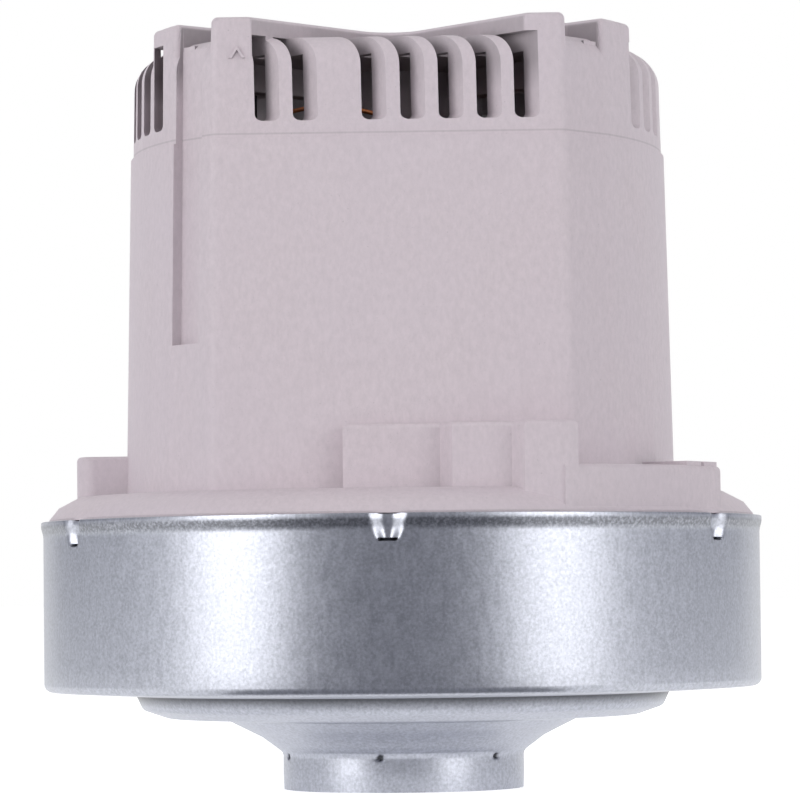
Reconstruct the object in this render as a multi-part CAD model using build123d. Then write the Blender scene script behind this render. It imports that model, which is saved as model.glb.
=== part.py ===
from build123d import *
from math import atan2, cos, degrees, hypot, radians, sin, sqrt
import os

# A through-flow vacuum cleaner motor, standing on its inlet neck.
# Millimetres, +Z up along the shaft, z = 0 at the neck's lower edge, and -Y is the front.

# Shared allowances
fit_gap = 0.01
running_gap = 0.3
blade_gap = 0.02
screw_gap = 0.15
over = 1.0
room = 200.0
front_turn_deg = -90.0
quarter_turn_deg = 90.0
half_turn_deg = 180.0

# Sheet steel fan shroud
shroud_r = 65.0
shroud_sheet = 0.9
shroud_floor_z = 18.1
shroud_rim_z = 48.6
shroud_lip_out = 0.9
shroud_lip_height = 1.1
shroud_corner_r = 2.6
neck_r = 21.85
neck_height = 6.6
neck_flare_out = 3.75
neck_flare_rise = 2.8
cone_out = 10.15
cone_rise = 6.0
ledge_out = 20.65
ledge_rise = 6.5
step_out = 26.45
step_rise = 8.4
neck_bend_r = 1.6
ledge_bend_r = 1.5
crimp_count = 6
crimp_width = 3.3
crimp_drop = 4.3
crimp_slit = 0.5
crimp_border = 0.6
crimp_notch_width = 4.2
crimp_notch_depth = 0.7
stake_count = 6
stake_turn_deg = 51.0
stake_hole_r = 0.8
stake_depth = 0.45
stake_drop = 1.2

shroud_inner_r = shroud_r - shroud_sheet
crimp_floor_z = shroud_rim_z - crimp_drop
stake_z = neck_height - stake_drop

# Plastic sealing ring held in the neck
seal_wall = 1.9
seal_low_z = 1.6
seal_lip_wall = 1.0
seal_shoulder_rise = 3.6
seal_lip_rise = 7.0

seal_out_r = neck_r - shroud_sheet - fit_gap
seal_bore_r = seal_out_r - seal_wall

# Impeller
impeller_tip_gap = 12.1
impeller_sheet = 0.8
eye_gap = 0.16
eye_collar_height = 3.2
shroud_floor_gap = 0.8
impeller_cone_fall = 5.2
impeller_width = 12.6
blade_count = 9
blade_sheet = 0.8
blade_eye_gap = 2.8
blade_tip_inset = 0.8
blade_sweep_deg = 52.0
blade_bow = 7.0

impeller_r = shroud_inner_r - impeller_tip_gap
eye_r = seal_bore_r + seal_lip_wall + eye_gap
front_disc_rim_z = shroud_floor_z + shroud_sheet + shroud_floor_gap + impeller_sheet
front_disc_eye_z = front_disc_rim_z - impeller_cone_fall
eye_collar_z = front_disc_eye_z - eye_collar_height
back_disc_z = front_disc_eye_z + impeller_width
back_disc_top_z = back_disc_z + impeller_sheet

# Shaft and what clamps the impeller on it
shaft_r = 4.0
shaft_core_r = 4.9
shaft_nose = 1.0
shaft_tail = 2.0
shaft_end_chamfer = 0.6
nut_across_flats = 13.0
nut_height = 5.0
nut_chamfer = 0.6
washer_r = 10.0
washer_height = 1.6
hub_washer_r = 13.0
hub_washer_height = 1.4
spacer_r = 6.2
spacer_length = 13.2

# Ball bearings, one at each end of the rotor
bearing_r = 11.0
bearing_width = 7.0
bearing_outer_wall = 1.9
bearing_inner_wall = 2.0
bearing_chamfer = 0.4
bearing_span = 79.0
shield_sheet = 0.4
shield_recess = 0.3
shield_gap = 0.15
ball_count = 7
ball_across = 3.6
ball_sides = 8
cage_wall = 0.7
cage_height = 1.4
rubber_cup_wall = 1.4
rubber_cup_over = 0.4
wave_washer_height = 0.9
wave_washer_wall = 2.4

bearing_lower_z = back_disc_top_z + spacer_length
bearing_upper_z = bearing_lower_z + bearing_span
washer_z = back_disc_z - hub_washer_height - washer_height
nut_z = washer_z - nut_height
shaft_low_z = nut_z - shaft_nose
shaft_top_z = bearing_upper_z + bearing_width + shaft_tail
bore_r = shaft_r + fit_gap

# Guide vane plate between impeller and motor
diffuser_plate_gap = 1.6
diffuser_plate = 1.8
diffuser_plate_inset = 6.1
diffuser_bore_r = 15.0
diffuser_vane_count = 13
diffuser_vane_sheet = 1.4
diffuser_vane_gap = 2.2
diffuser_vane_rise = 0.4
diffuser_vane_sweep_deg = 17.0
return_vane_count = 11
return_vane_sheet = 1.4
return_vane_in_r = 22.0
return_vane_inset = 1.5
return_vane_sweep_deg = 48.0
return_vane_bow = 8.0
diffuser_screw_pcd_r = 38.0
diffuser_screw_r = 1.4
diffuser_screw_head_r = 2.7
diffuser_screw_head = 1.4
diffuser_boss_r = 3.6
seat_gap = 0.2

diffuser_plate_z = back_disc_top_z + diffuser_plate_gap
diffuser_plate_r = shroud_inner_r - diffuser_plate_inset
diffuser_vane_in_r = impeller_r + diffuser_vane_gap
diffuser_vane_low_z = shroud_floor_z + shroud_sheet + diffuser_vane_rise
return_vane_out_r = diffuser_plate_r - return_vane_inset

# Moulded motor housing: flange
flange_skirt_wall = 3.2
flange_skirt_height = 8.0
flange_deck = 4.0
flange_deck_rise = 0.4
flange_shoulder_in = 5.3
flange_shoulder_mid_in = 1.7
flange_shoulder_mid_drop = 1.9
flange_crimp_depth = 1.2
flange_crimp_room = 0.5

flange_r = shroud_inner_r - seat_gap
flange_deck_z = shroud_rim_z + flange_deck_rise
flange_top_z = flange_deck_z + flange_deck
flange_low_z = flange_deck_z - flange_skirt_height
flange_shoulder_r = flange_r - flange_shoulder_in
flange_shoulder_mid_r = flange_r - flange_shoulder_mid_in
flange_shoulder_mid_z = flange_top_z - flange_shoulder_mid_drop
diffuser_top_z = flange_low_z - seat_gap

# Bridge that carries the lower bearing
bridge_cup_wall = 2.8
bridge_cup_over = 1.6
bridge_lip = 1.6
bridge_arm_count = 4
bridge_arm_turn_deg = 45.0
bridge_arm_width = 9.0
bridge_arm_height = 4.0
bridge_ring_gap = 0.7
bridge_ring_width = 7.5
bridge_screw_r = 1.9
bridge_screw_head_r = 3.6
bridge_screw_head = 2.4
bridge_screw_bite = 3.2

bridge_low_z = flange_low_z
bridge_cup_top_z = bearing_lower_z + bearing_width + bridge_cup_over
bridge_ring_out_r = flange_r - flange_skirt_wall - bridge_ring_gap
bridge_ring_in_r = bridge_ring_out_r - bridge_ring_width
bridge_screw_pcd_r = bridge_ring_out_r - bridge_ring_width / 2
bridge_seat_r = bearing_r + fit_gap
bridge_cup_r = bridge_seat_r + bridge_cup_wall

# Moulded motor housing: body and crown
body_half_x = 49.8
body_half_y = 45.4
body_side_r = 66.7
body_corner_cut_x = 18.8
body_corner_cut_y = 9.4
body_corner_r = 4.0
body_draft_deg = 1.1
body_wall = 3.0
parting_z = 114.0
parting_step = 0.5
roof_rise = 18.0
roof_wall = 3.2
shoulder_r = 5.5
crown_rise = 3.2
crown_post = 5.5
crown_front_scoop_depth = 27.5
crown_front_scoop_r = 6.0
crown_side_scoop_depth = 20.0
crown_side_scoop_r = 32.6
crown_corner_scoop_r = 4.4
crown_corner_scoop_shift = 0.9
crown_corner_scoop_depth = 10.0
crown_scoop_run_share = 0.2
crown_vent_drop = 1.0
crown_corner_r = 1.2
crown_edge_r = 1.1
hub_rib_count = 4
hub_rib_turn_deg = 45.0
hub_rib_width = 4.0
hub_rib_height = 8.0
hub_wall = 3.2
hub_drop = 1.4

body_corner_x = body_half_x - body_corner_cut_x
body_side_y = body_half_y - body_corner_cut_y
body_side_middle = body_half_x - body_side_r
body_side_x = body_side_middle + sqrt(body_side_r**2 - body_side_y**2)
body_base_z = flange_top_z - over
roof_z = parting_z + roof_rise
crown_z = roof_z + crown_rise
crown_front_scoop_half = body_corner_x - crown_post
hub_bore_r = bearing_r + rubber_cup_wall + fit_gap
hub_boss_r = hub_bore_r + hub_wall
hub_boss_low_z = bearing_upper_z - hub_drop
hub_rib_low_z = roof_z - hub_rib_height
hub_seat_top_z = bearing_upper_z + bearing_width + rubber_cup_over

# Vent slots, placed along the face of each panel from its middle
vent_places = (-20.9, -14.3, -2.4, 4.3, 10.9, 17.5, 24.0)
vent_side_places = (-26.0, -19.5, -13.0, -1.4, 5.1, 11.6, 18.1, 24.6, 31.1)
vent_width = 3.3
vent_corner_r = 1.1
vent_sill = 2.9
vent_swirl_deg = 40.0
vent_depth = 12.0

vent_low_z = parting_z + vent_sill

# Upright groove in the front left corner
groove_shift = -1.7
groove_width = 7.6
groove_depth = 1.9
groove_drop = 53.3

groove_low_z = roof_z - groove_drop

# Blocks and bosses on the flange
step_block_left = 8.2
step_block_mid_x = 8.4
step_block_right_x = 22.9
step_block_end_x = 32.0
step_block_low = 3.2
step_block_mid = 7.2
step_block_front = 10.2
step_block_height = 11.2
step_block_slope = 2.2
step_block_edge_r = 1.0
flange_block_inset = 0.5
ledge_block_in = 14.0
ledge_block_height = 3.8
ledge_block_from_deg = 28.0
ledge_block_to_deg = 64.0
ledge_block_edge_r = 1.0
left_boss_out = 4.8
left_boss_y = 6.0
left_boss_r = 3.9
left_boss_height = 7.4
right_boss_turn_deg = 60.0
right_boss_length = 9.0
right_boss_inset = 1.8
right_boss_width = 11.0
right_boss_height = 4.6
right_boss_groove = 1.0
boss_edge_r = 0.8

# Stator
stack_gap_low = 13.0
stack_height = 30.0
stator_gap_x = 5.8
stator_gap_y = 4.4
stator_corner_x = 16.0
stator_corner_y = 26.0
stator_bore_r = 23.5
yoke_x = 8.0
yoke_y = 7.5
pole_neck_half = 14.0
pole_shoe = 5.0
pole_shoe_reach_deg = 62.0
insulation_sheet = 0.8
insulation_inset = 0.6
coil_gap = 0.4
coil_overhang = 7.4
coil_start_y = 3.0
coil_spread = 0.8
coil_edge_r = 2.0
stator_screw_y = 12.0
stator_screw_r = 2.0
stator_screw_head_r = 3.7
stator_screw_head = 2.6
stator_screw_bite = 14.0
stator_post_r = 4.2
stator_post_height = 20.0

stack_low_z = bearing_lower_z + bearing_width + stack_gap_low
stack_high_z = stack_low_z + stack_height
stator_half_x = body_half_x - stator_gap_x
stator_half_y = body_half_y - stator_gap_y
window_half_x = stator_half_x - yoke_x
window_half_y = stator_half_y - yoke_y
coil_outer_r = window_half_x + coil_spread
coil_low_z = stack_low_z - coil_overhang
coil_high_z = stack_high_z + coil_overhang
stator_screw_x = stator_half_x - yoke_x / 2
stator_post_top_z = stack_high_z + stator_post_height

# Rotor
rotor_gap = 0.5
rotor_slot_count = 12
rotor_slot_mouth = 2.2
rotor_tip = 2.4
rotor_slot_bottom_r = 12.0
rotor_slot_top_width = 6.2
rotor_slot_bottom_width = 3.0
rotor_winding_gap = 0.3
winding_rim_inset = 2.8
winding_inner_r = 6.6
winding_overhang_low = 7.6
winding_overhang_high = 8.4
winding_edge_r = 3.0
commutator_r = 13.0
commutator_gap = 2.6
commutator_length = 14.6
commutator_bar_depth = 3.6
commutator_bar_count = 24
commutator_slot = 0.5
commutator_hub_over = 1.0
riser_height = 1.6
riser_out = 1.0

rotor_r = stator_bore_r - rotor_gap
rotor_slot_top_r = rotor_r - rotor_tip
winding_r = rotor_r - winding_rim_inset
winding_low_z = stack_low_z - winding_overhang_low
winding_high_z = stack_high_z + winding_overhang_high
commutator_low_z = winding_high_z + commutator_gap
commutator_high_z = commutator_low_z + commutator_length
commutator_hub_r = commutator_r - commutator_bar_depth - fit_gap

# Brushes and their holders
brush_width = 6.0
brush_height = 10.6
brush_length = 18.0
brush_face_gap = 0.15
brush_slide_gap = 0.12
brush_rise = 7.4
guide_wall = 0.6
guide_start_gap = 2.2
guide_length = 24.3
guide_cap = 0.6
holder_gap = 0.05
holder_wall = 1.8
holder_start_gap = 4.0
holder_length = 20.0
holder_ear_shift = 3.0
holder_ear_half = 11.0
holder_ear_r = 3.6
holder_ear_height = 2.4
holder_screw_r = 1.4
holder_screw_head_r = 2.6
holder_screw_head = 1.8
holder_screw_bite = 6.0
spring_r = 2.3
spring_wire = 0.5
spring_gap = 0.1

brush_z = commutator_low_z + brush_rise
brush_face_r = commutator_r + brush_face_gap
brush_back_r = brush_face_r + brush_length
guide_start_r = commutator_r + guide_start_gap
guide_end_r = guide_start_r + guide_length
guide_half_width = brush_width / 2 + brush_slide_gap + guide_wall
guide_half_height = brush_height / 2 + brush_slide_gap + guide_wall
holder_start_r = commutator_r + holder_start_gap
holder_end_r = holder_start_r + holder_length
holder_ear_place = holder_start_r + holder_length / 2 + holder_ear_shift
ear_top_z = brush_z + guide_half_height + holder_gap + holder_wall

# Terminal block at the back of the flange
terminal_block_width = 26.0
terminal_block_out = 12.6
terminal_block_height = 9.0
terminal_tab_width = 6.3
terminal_tab_sheet = 0.8
terminal_tab_place = 6.8
terminal_tab_inset = 4.0
terminal_tab_rise = 8.0
terminal_tab_root = 5.0
terminal_tab_chamfer = 1.2

terminal_block_y = body_half_y + terminal_block_out
terminal_block_top_z = flange_top_z + terminal_block_height
terminal_tab_y = terminal_block_y - terminal_tab_inset


def ring(r_out, r_in, z0, z1):
    """A plain tube about the shaft line."""
    tube = Cylinder(r_out, z1 - z0, align=(Align.CENTER, Align.CENTER, Align.MIN))
    if r_in > 0:
        tube -= Cylinder(r_in, z1 - z0, align=(Align.CENTER, Align.CENTER, Align.MIN))
    return Pos(0, 0, z0) * tube


def block(x0, x1, y0, y1, z0, z1):
    """A box between two corners."""
    box = Box(x1 - x0, y1 - y0, z1 - z0, align=(Align.MIN, Align.MIN, Align.MIN))
    return Pos(x0, y0, z0) * box


def lathe(points):
    """A closed outline of (radius, height) points turned about the shaft line."""
    return revolve(Plane.XZ * make_face(Polyline(*points, close=True)), Axis.Z)


def prism(points, z0, z1):
    """A closed plan outline of (x, y) points, raised from z0 to z1."""
    return Pos(0, 0, z0) * extrude(make_face(Polyline(*points, close=True)), z1 - z0, dir=(0, 0, 1))


def around(count, start=0.0):
    """Evenly spaced turns about the shaft line."""
    return [Rot(0, 0, start + 360.0 * i / count) for i in range(count)]


def polar(r, turn):
    """The plan point at a radius and an angle in degrees."""
    return (r * cos(radians(turn)), r * sin(radians(turn)))


def curved_vane(r0, r1, sweep, bow, sheet, z0, z1):
    """A bent strip standing between two radii, swept through an angle and bowed sideways."""
    start, end = Vector(*polar(r0, 0.0)), Vector(*polar(r1, sweep))
    chord = end - start
    side = Vector(-chord.Y, chord.X).normalized()
    middle = (start + end) / 2 + side * bow
    path = ThreePointArc(start, middle, end) if bow else Line(start, end)
    strip = trace(path, sheet)
    return Pos(0, 0, z0) * extrude(strip, z1 - z0)


def sheet_outline(points, radii, sheet):
    """Outer and inner lines of a bent sheet, as one closed face in the XZ plane."""
    outer = FilletPolyline(*points, radius=radii)
    inner_points = []
    for i, here in enumerate(points):
        before = Vector(*points[max(i - 1, 0)])
        after = Vector(*points[min(i + 1, len(points) - 1)])
        at = Vector(*here)
        into = (at - before).normalized() if i > 0 else (after - at).normalized()
        out = (after - at).normalized() if i < len(points) - 1 else into
        normal_in = Vector(-into.Y, into.X)
        normal_out = Vector(-out.Y, out.X)
        mitre = (normal_in + normal_out).normalized()
        inner_points.append(at + mitre * (sheet / mitre.dot(normal_in)))
    inner_radii = []
    for i in range(1, len(points) - 1):
        a = Vector(*points[i]) - Vector(*points[i - 1])
        b = Vector(*points[i + 1]) - Vector(*points[i])
        turn = a.X * b.Y - a.Y * b.X
        wanted = radii[i - 1] - sheet if turn > 0 else radii[i - 1] + sheet
        inner_radii.append(max(wanted, 0.0) if radii[i - 1] > 0 else 0.0)
    inner = FilletPolyline(*inner_points, radius=inner_radii)
    ends = [Line(outer @ 0, inner @ 0), Line(outer @ 1, inner @ 1)]
    return make_face(Curve() + [outer, inner, *ends])


def fan_shroud():
    """The drawn pan with its stepped floor, flared neck, crimped rim and staked neck."""
    lip_z = shroud_rim_z - shroud_lip_height
    points = [
        (neck_r, 0),
        (neck_r, neck_height),
        (neck_r + neck_flare_out, neck_height + neck_flare_rise),
        (neck_r + cone_out, neck_height + cone_rise),
        (neck_r + ledge_out, neck_height + ledge_rise),
        (neck_r + step_out, neck_height + step_rise),
        (neck_r + step_out, shroud_floor_z),
        (shroud_r, shroud_floor_z),
        (shroud_r, lip_z - shroud_lip_out),
        (shroud_r + shroud_lip_out, lip_z),
        (shroud_r + shroud_lip_out, shroud_rim_z),
    ]
    radii = [neck_bend_r, 0, ledge_bend_r, ledge_bend_r, ledge_bend_r, ledge_bend_r, shroud_corner_r, 0, 0]
    pan = revolve(Plane.XZ * sheet_outline(points, radii, shroud_sheet), Axis.Z)
    inner_r = shroud_inner_r
    half = crimp_width / 2
    cuts, tabs = [], []
    for turn in around(crimp_count, front_turn_deg):
        window = block(inner_r - over, shroud_r + 2 * over, -half, half, crimp_floor_z - crimp_slit, lip_z)
        notch_half = crimp_notch_width / 2
        notch = block(
            inner_r - over,
            shroud_r + 2 * over,
            -notch_half,
            notch_half,
            shroud_rim_z - crimp_notch_depth,
            shroud_rim_z + over,
        )
        plate_half = half + crimp_border
        plate = block(
            inner_r - shroud_sheet - over, inner_r + over, -plate_half, plate_half, crimp_floor_z, lip_z
        )
        cuts += [turn * window, turn * notch]
        tabs.append(turn * plate)
    tab_ring = ring(inner_r + fit_gap, inner_r - shroud_sheet, crimp_floor_z, lip_z)
    pan = pan - cuts
    pan = pan + (tab_ring & (Part() + tabs))
    stake = Pos(neck_r - stake_depth, 0, stake_z) * Rot(0, 90, 0) * Cylinder(
        stake_hole_r, over, align=(Align.CENTER, Align.CENTER, Align.MIN)
    )
    return pan - [turn * stake for turn in around(stake_count, stake_turn_deg)]


def inlet_seal_ring():
    """The sleeve pressed into the neck, with a lip that runs inside the impeller's eye."""
    lip_out_r = seal_bore_r + seal_lip_wall
    lip_z = neck_height + seal_lip_rise
    return lathe(
        [
            (seal_bore_r, seal_low_z),
            (seal_out_r, seal_low_z),
            (seal_out_r, neck_height - neck_bend_r),
            (lip_out_r, neck_height + seal_shoulder_rise),
            (lip_out_r, lip_z),
            (seal_bore_r, lip_z),
        ]
    )


def impeller_front_disc():
    """The coned front disc with its eye collar."""
    out = eye_r + impeller_sheet
    sheet = impeller_sheet
    return lathe(
        [
            (eye_r, eye_collar_z),
            (out, eye_collar_z),
            (out, front_disc_eye_z),
            (impeller_r, front_disc_rim_z),
            (impeller_r, front_disc_rim_z + sheet),
            (eye_r, front_disc_eye_z + sheet),
        ]
    )


def impeller_back_disc():
    """The flat back disc, bored for the shaft."""
    return ring(impeller_r, bore_r, back_disc_z, back_disc_top_z)


def impeller_blades():
    """Backward-curved sheet blades between the two discs."""
    blade = curved_vane(
        eye_r + blade_eye_gap,
        impeller_r - blade_tip_inset,
        blade_sweep_deg,
        blade_bow,
        blade_sheet,
        eye_collar_z,
        back_disc_z - blade_gap,
    )
    rise = impeller_sheet + blade_gap
    above = lathe(
        [
            (eye_r, front_disc_eye_z + rise),
            (impeller_r, front_disc_rim_z + rise),
            (impeller_r, back_disc_z),
            (eye_r, back_disc_z),
        ]
    )
    return Part() + [turn * (blade & above) for turn in around(blade_count)]


def hexagon_nut(across, height, hole_r, z0):
    """A chamfered hexagon nut with a plain bore."""
    nut = extrude(RegularPolygon(across / 2, 6, major_radius=False), height)
    corner = across / sqrt(3)
    crown = lathe(
        [
            (0, 0),
            (corner - nut_chamfer, 0),
            (corner + nut_chamfer, 2 * nut_chamfer),
            (corner + nut_chamfer, height),
            (0, height),
        ]
    )
    return Pos(0, 0, z0) * ((nut & crown) - ring(hole_r, 0, -over, height + over))


def impeller_nut():
    """The nut that clamps the impeller, just inside the inlet."""
    return hexagon_nut(nut_across_flats, nut_height, bore_r, nut_z)


def impeller_washer():
    """The small washer under the nut."""
    return ring(washer_r, bore_r, washer_z, washer_z + washer_height)


def impeller_hub_washer():
    """The wide washer that presses on the back disc."""
    return ring(hub_washer_r, bore_r, back_disc_z - hub_washer_height, back_disc_z)


def spacer_sleeve():
    """The sleeve between the back disc and the lower bearing's inner ring."""
    return ring(spacer_r, bore_r, back_disc_top_z, bearing_lower_z)


def motor_shaft():
    """The ground shaft: journals for the bearings and a thicker middle for the core."""
    shoulder_low = bearing_lower_z + bearing_width
    shoulder_high = bearing_upper_z
    c = shaft_end_chamfer
    return lathe(
        [
            (0, shaft_low_z),
            (shaft_r - c, shaft_low_z),
            (shaft_r, shaft_low_z + c),
            (shaft_r, shoulder_low),
            (shaft_core_r, shoulder_low),
            (shaft_core_r, shoulder_high),
            (shaft_r, shoulder_high),
            (shaft_r, shaft_top_z - c),
            (shaft_r - c, shaft_top_z),
            (0, shaft_top_z),
        ]
    )


def bearing_outer_ring(z0):
    """The outer race with a shallow ball groove and chamfered corners."""
    out, inner, c = bearing_r, bearing_r - bearing_outer_wall, bearing_chamfer
    z1 = z0 + bearing_width
    return lathe(
        [
            (inner, z0),
            (out - c, z0),
            (out, z0 + c),
            (out, z1 - c),
            (out - c, z1),
            (inner, z1),
        ]
    )


def bearing_inner_ring(z0):
    """The inner race, pressed on the shaft."""
    return ring(bore_r + bearing_inner_wall, bore_r, z0, z0 + bearing_width)


def bearing_shields(z0):
    """The two dished covers pressed into the outer race."""
    out = bearing_r - bearing_outer_wall - fit_gap
    inner = shaft_r + bearing_inner_wall + shield_gap
    low = z0 + shield_recess
    high = z0 + bearing_width - shield_recess - shield_sheet
    return Part() + [ring(out, inner, z, z + shield_sheet) for z in (low, high)]


def ball_set(z0):
    """The ball cage with its balls, each ball drawn as a short eight-sided drum."""
    race_in = shaft_r + bearing_inner_wall
    race_out = bearing_r - bearing_outer_wall
    middle_r = (race_in + race_out) / 2
    drum_length = race_out - race_in - 2 * running_gap
    across = min(ball_across, bearing_width - 4 * shield_recess - 2 * shield_sheet)
    drum = extrude(RegularPolygon(across / 2, ball_sides, major_radius=False), drum_length / 2, both=True)
    drum = Pos(middle_r, 0, z0 + bearing_width / 2) * Rot(0, 90, 0) * drum
    cage = ring(
        middle_r + cage_wall / 2,
        middle_r - cage_wall / 2,
        z0 + bearing_width / 2 - cage_height / 2,
        z0 + bearing_width / 2 + cage_height / 2,
    )
    return cage + [turn * drum for turn in around(ball_count)]


def upper_bearing_cup():
    """The rubber sleeve that holds the upper bearing in the housing's hub."""
    out = bearing_r + rubber_cup_wall
    return ring(out, bearing_r + fit_gap, bearing_upper_z, hub_seat_top_z)


def wave_washer():
    """The preload spring washer above the upper bearing's outer race."""
    z0 = bearing_upper_z + bearing_width
    out = bearing_r - fit_gap
    return ring(out, out - wave_washer_wall, z0, z0 + wave_washer_height)


def diffuser():
    """The guide plate: outer vanes around the impeller and return vanes on its top."""
    top = diffuser_plate_z + diffuser_plate
    vane_out_r = shroud_inner_r - fit_gap
    outer = curved_vane(
        diffuser_vane_in_r,
        shroud_r,
        diffuser_vane_sweep_deg,
        0,
        diffuser_vane_sheet,
        diffuser_vane_low_z,
        diffuser_top_z,
    )
    inner = curved_vane(
        return_vane_in_r,
        return_vane_out_r,
        -return_vane_sweep_deg,
        return_vane_bow,
        return_vane_sheet,
        top,
        diffuser_top_z,
    )
    boss = Pos(diffuser_screw_pcd_r, 0, 0) * ring(diffuser_boss_r, 0, top, diffuser_top_z)
    plate = ring(diffuser_plate_r, 0, diffuser_plate_z, top)
    vanes = [turn * outer for turn in around(diffuser_vane_count)]
    vanes += [turn * inner for turn in around(return_vane_count)]
    vanes += [turn * boss for turn in around(bridge_arm_count, bridge_arm_turn_deg)]
    body = (plate + vanes) & lathe(
        [
            (diffuser_bore_r, diffuser_vane_low_z),
            (vane_out_r - shroud_corner_r, diffuser_vane_low_z),
            (vane_out_r, diffuser_vane_low_z + shroud_corner_r),
            (vane_out_r, diffuser_top_z),
            (diffuser_bore_r, diffuser_top_z),
        ]
    )
    screw_room = ring(diffuser_screw_r + screw_gap, 0, diffuser_plate_z - over, diffuser_top_z + over)
    head_room = ring(
        diffuser_screw_head_r + screw_gap,
        0,
        diffuser_plate_z - over,
        diffuser_plate_z + diffuser_screw_head,
    )
    hole = Pos(diffuser_screw_pcd_r, 0, 0) * (screw_room + head_room)
    return body - [turn * hole for turn in around(bridge_arm_count, bridge_arm_turn_deg)]


def diffuser_screws():
    """The countersunk screws that hold the guide plate to the bridge."""
    head = diffuser_plate_z + screw_gap
    screw = ring(diffuser_screw_head_r, 0, head, diffuser_plate_z + diffuser_screw_head)
    screw += ring(diffuser_screw_r, 0, head, bridge_low_z + bridge_arm_height - over)
    screw = Pos(diffuser_screw_pcd_r, 0, 0) * screw
    return Part() + [turn * screw for turn in around(bridge_arm_count, bridge_arm_turn_deg)]


def bearing_bridge():
    """The cast spider that carries the lower bearing under the stator."""
    ring_low_z = flange_deck_z - bridge_arm_height
    cup = ring(bridge_cup_r, bridge_seat_r, bridge_low_z, bridge_cup_top_z)
    cup += ring(bridge_cup_r, bridge_seat_r - bridge_lip, bearing_lower_z + bearing_width, bridge_cup_top_z)
    outer = ring(bridge_ring_out_r, bridge_ring_in_r, ring_low_z, flange_deck_z)
    half = bridge_arm_width / 2
    arm = block(bridge_cup_r - over, bridge_ring_in_r + over, -half, half, bridge_low_z, flange_deck_z)
    profile = lathe(
        [
            (bridge_cup_r - over, bridge_low_z),
            (bridge_ring_in_r + over, bridge_low_z),
            (bridge_ring_in_r + over, flange_deck_z),
            (bridge_ring_in_r - bridge_arm_height, flange_deck_z - over),
            (bridge_cup_r + bridge_arm_height, bridge_low_z + bridge_arm_height),
            (bridge_cup_r - over, bridge_cup_top_z - over),
        ]
    )
    arm = arm & profile
    spider = cup + outer + [turn * arm for turn in around(bridge_arm_count, bridge_arm_turn_deg)]
    hole = Pos(bridge_screw_pcd_r, 0, 0) * ring(
        bridge_screw_r + screw_gap, 0, ring_low_z - over, flange_deck_z + over
    )
    tap = Pos(diffuser_screw_pcd_r, 0, 0) * ring(
        diffuser_screw_r + screw_gap, 0, bridge_low_z - over, flange_deck_z + over
    )
    cuts = [turn * hole for turn in around(bridge_arm_count)]
    cuts += [turn * tap for turn in around(bridge_arm_count, bridge_arm_turn_deg)]
    return spider - cuts


def bridge_screws():
    """The pan-head screws that hold the bridge up under the housing's flange."""
    ring_low_z = flange_deck_z - bridge_arm_height
    screw = ring(bridge_screw_head_r, 0, ring_low_z - bridge_screw_head, ring_low_z)
    screw += ring(bridge_screw_r, 0, ring_low_z, flange_deck_z + bridge_screw_bite)
    screw = Pos(bridge_screw_pcd_r, 0, 0) * screw
    return Part() + [turn * screw for turn in around(bridge_arm_count)]


def body_plan(inset=0.0):
    """The plan of the housing, flat in front and behind, bulged at the sides, with cut corners."""
    x0, y0, x1, y1 = body_corner_x, body_half_y, body_side_x, body_side_y
    edges = [Line((-x0, -y0), (x0, -y0)), Line((x0, -y0), (x1, -y1))]
    edges += [ThreePointArc((x1, -y1), (body_half_x, 0), (x1, y1)), Line((x1, y1), (x0, y0))]
    edges += [Line((x0, y0), (-x0, y0)), Line((-x0, y0), (-x1, y1))]
    edges += [ThreePointArc((-x1, y1), (-body_half_x, 0), (-x1, -y1)), Line((-x1, -y1), (-x0, -y0))]
    plan = make_face(edges)
    plan = fillet(plan.vertices(), body_corner_r)
    return offset(plan, -inset) if inset > 0 else plan


def drafted(inset, z0, z1):
    """The body between two heights, as it narrows upwards by its draft."""
    start = inset + (z0 - body_base_z) * tan_draft()
    return Pos(0, 0, z0) * extrude(body_plan(start), z1 - z0, taper=body_draft_deg)


def tan_draft():
    """How far the walls lean in for each step up."""
    return sin(radians(body_draft_deg)) / cos(radians(body_draft_deg))


def corner_middle():
    """The middle of one cut corner's face in plan, and the face's outward turn in degrees."""
    x, y = (body_corner_x + body_side_x) / 2, (body_half_y + body_side_y) / 2
    turn = degrees(atan2(body_side_x - body_corner_x, body_half_y - body_side_y))
    return x, y, turn


def crown_scoops():
    """The plan of each scoop that the crown has along its outline."""
    run = 1 + crown_scoop_run_share
    deep_y = crown_front_scoop_depth - body_half_y
    wide, base_y = crown_front_scoop_half * run, deep_y - crown_front_scoop_depth * run
    front = make_face(Polyline((-wide, base_y), (wide, base_y), (0, deep_y), close=True))
    front = fillet(front.vertices().sort_by(Axis.Y)[-1], crown_front_scoop_r)
    side = body_half_x - crown_side_scoop_depth + crown_side_scoop_r
    x, y, turn = corner_middle()
    corner = SlotCenterToCenter(2 * crown_corner_scoop_depth, 2 * crown_corner_scoop_r)
    corner = Pos(x, y) * Rot(0, 0, turn) * Pos(0, -crown_corner_scoop_shift) * corner
    scoops = [front, Pos(side, 0) * Circle(crown_side_scoop_r), corner, mirror(corner, Plane.XZ)]
    return scoops + [Rot(0, 0, half_turn_deg) * scoop for scoop in scoops]


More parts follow.
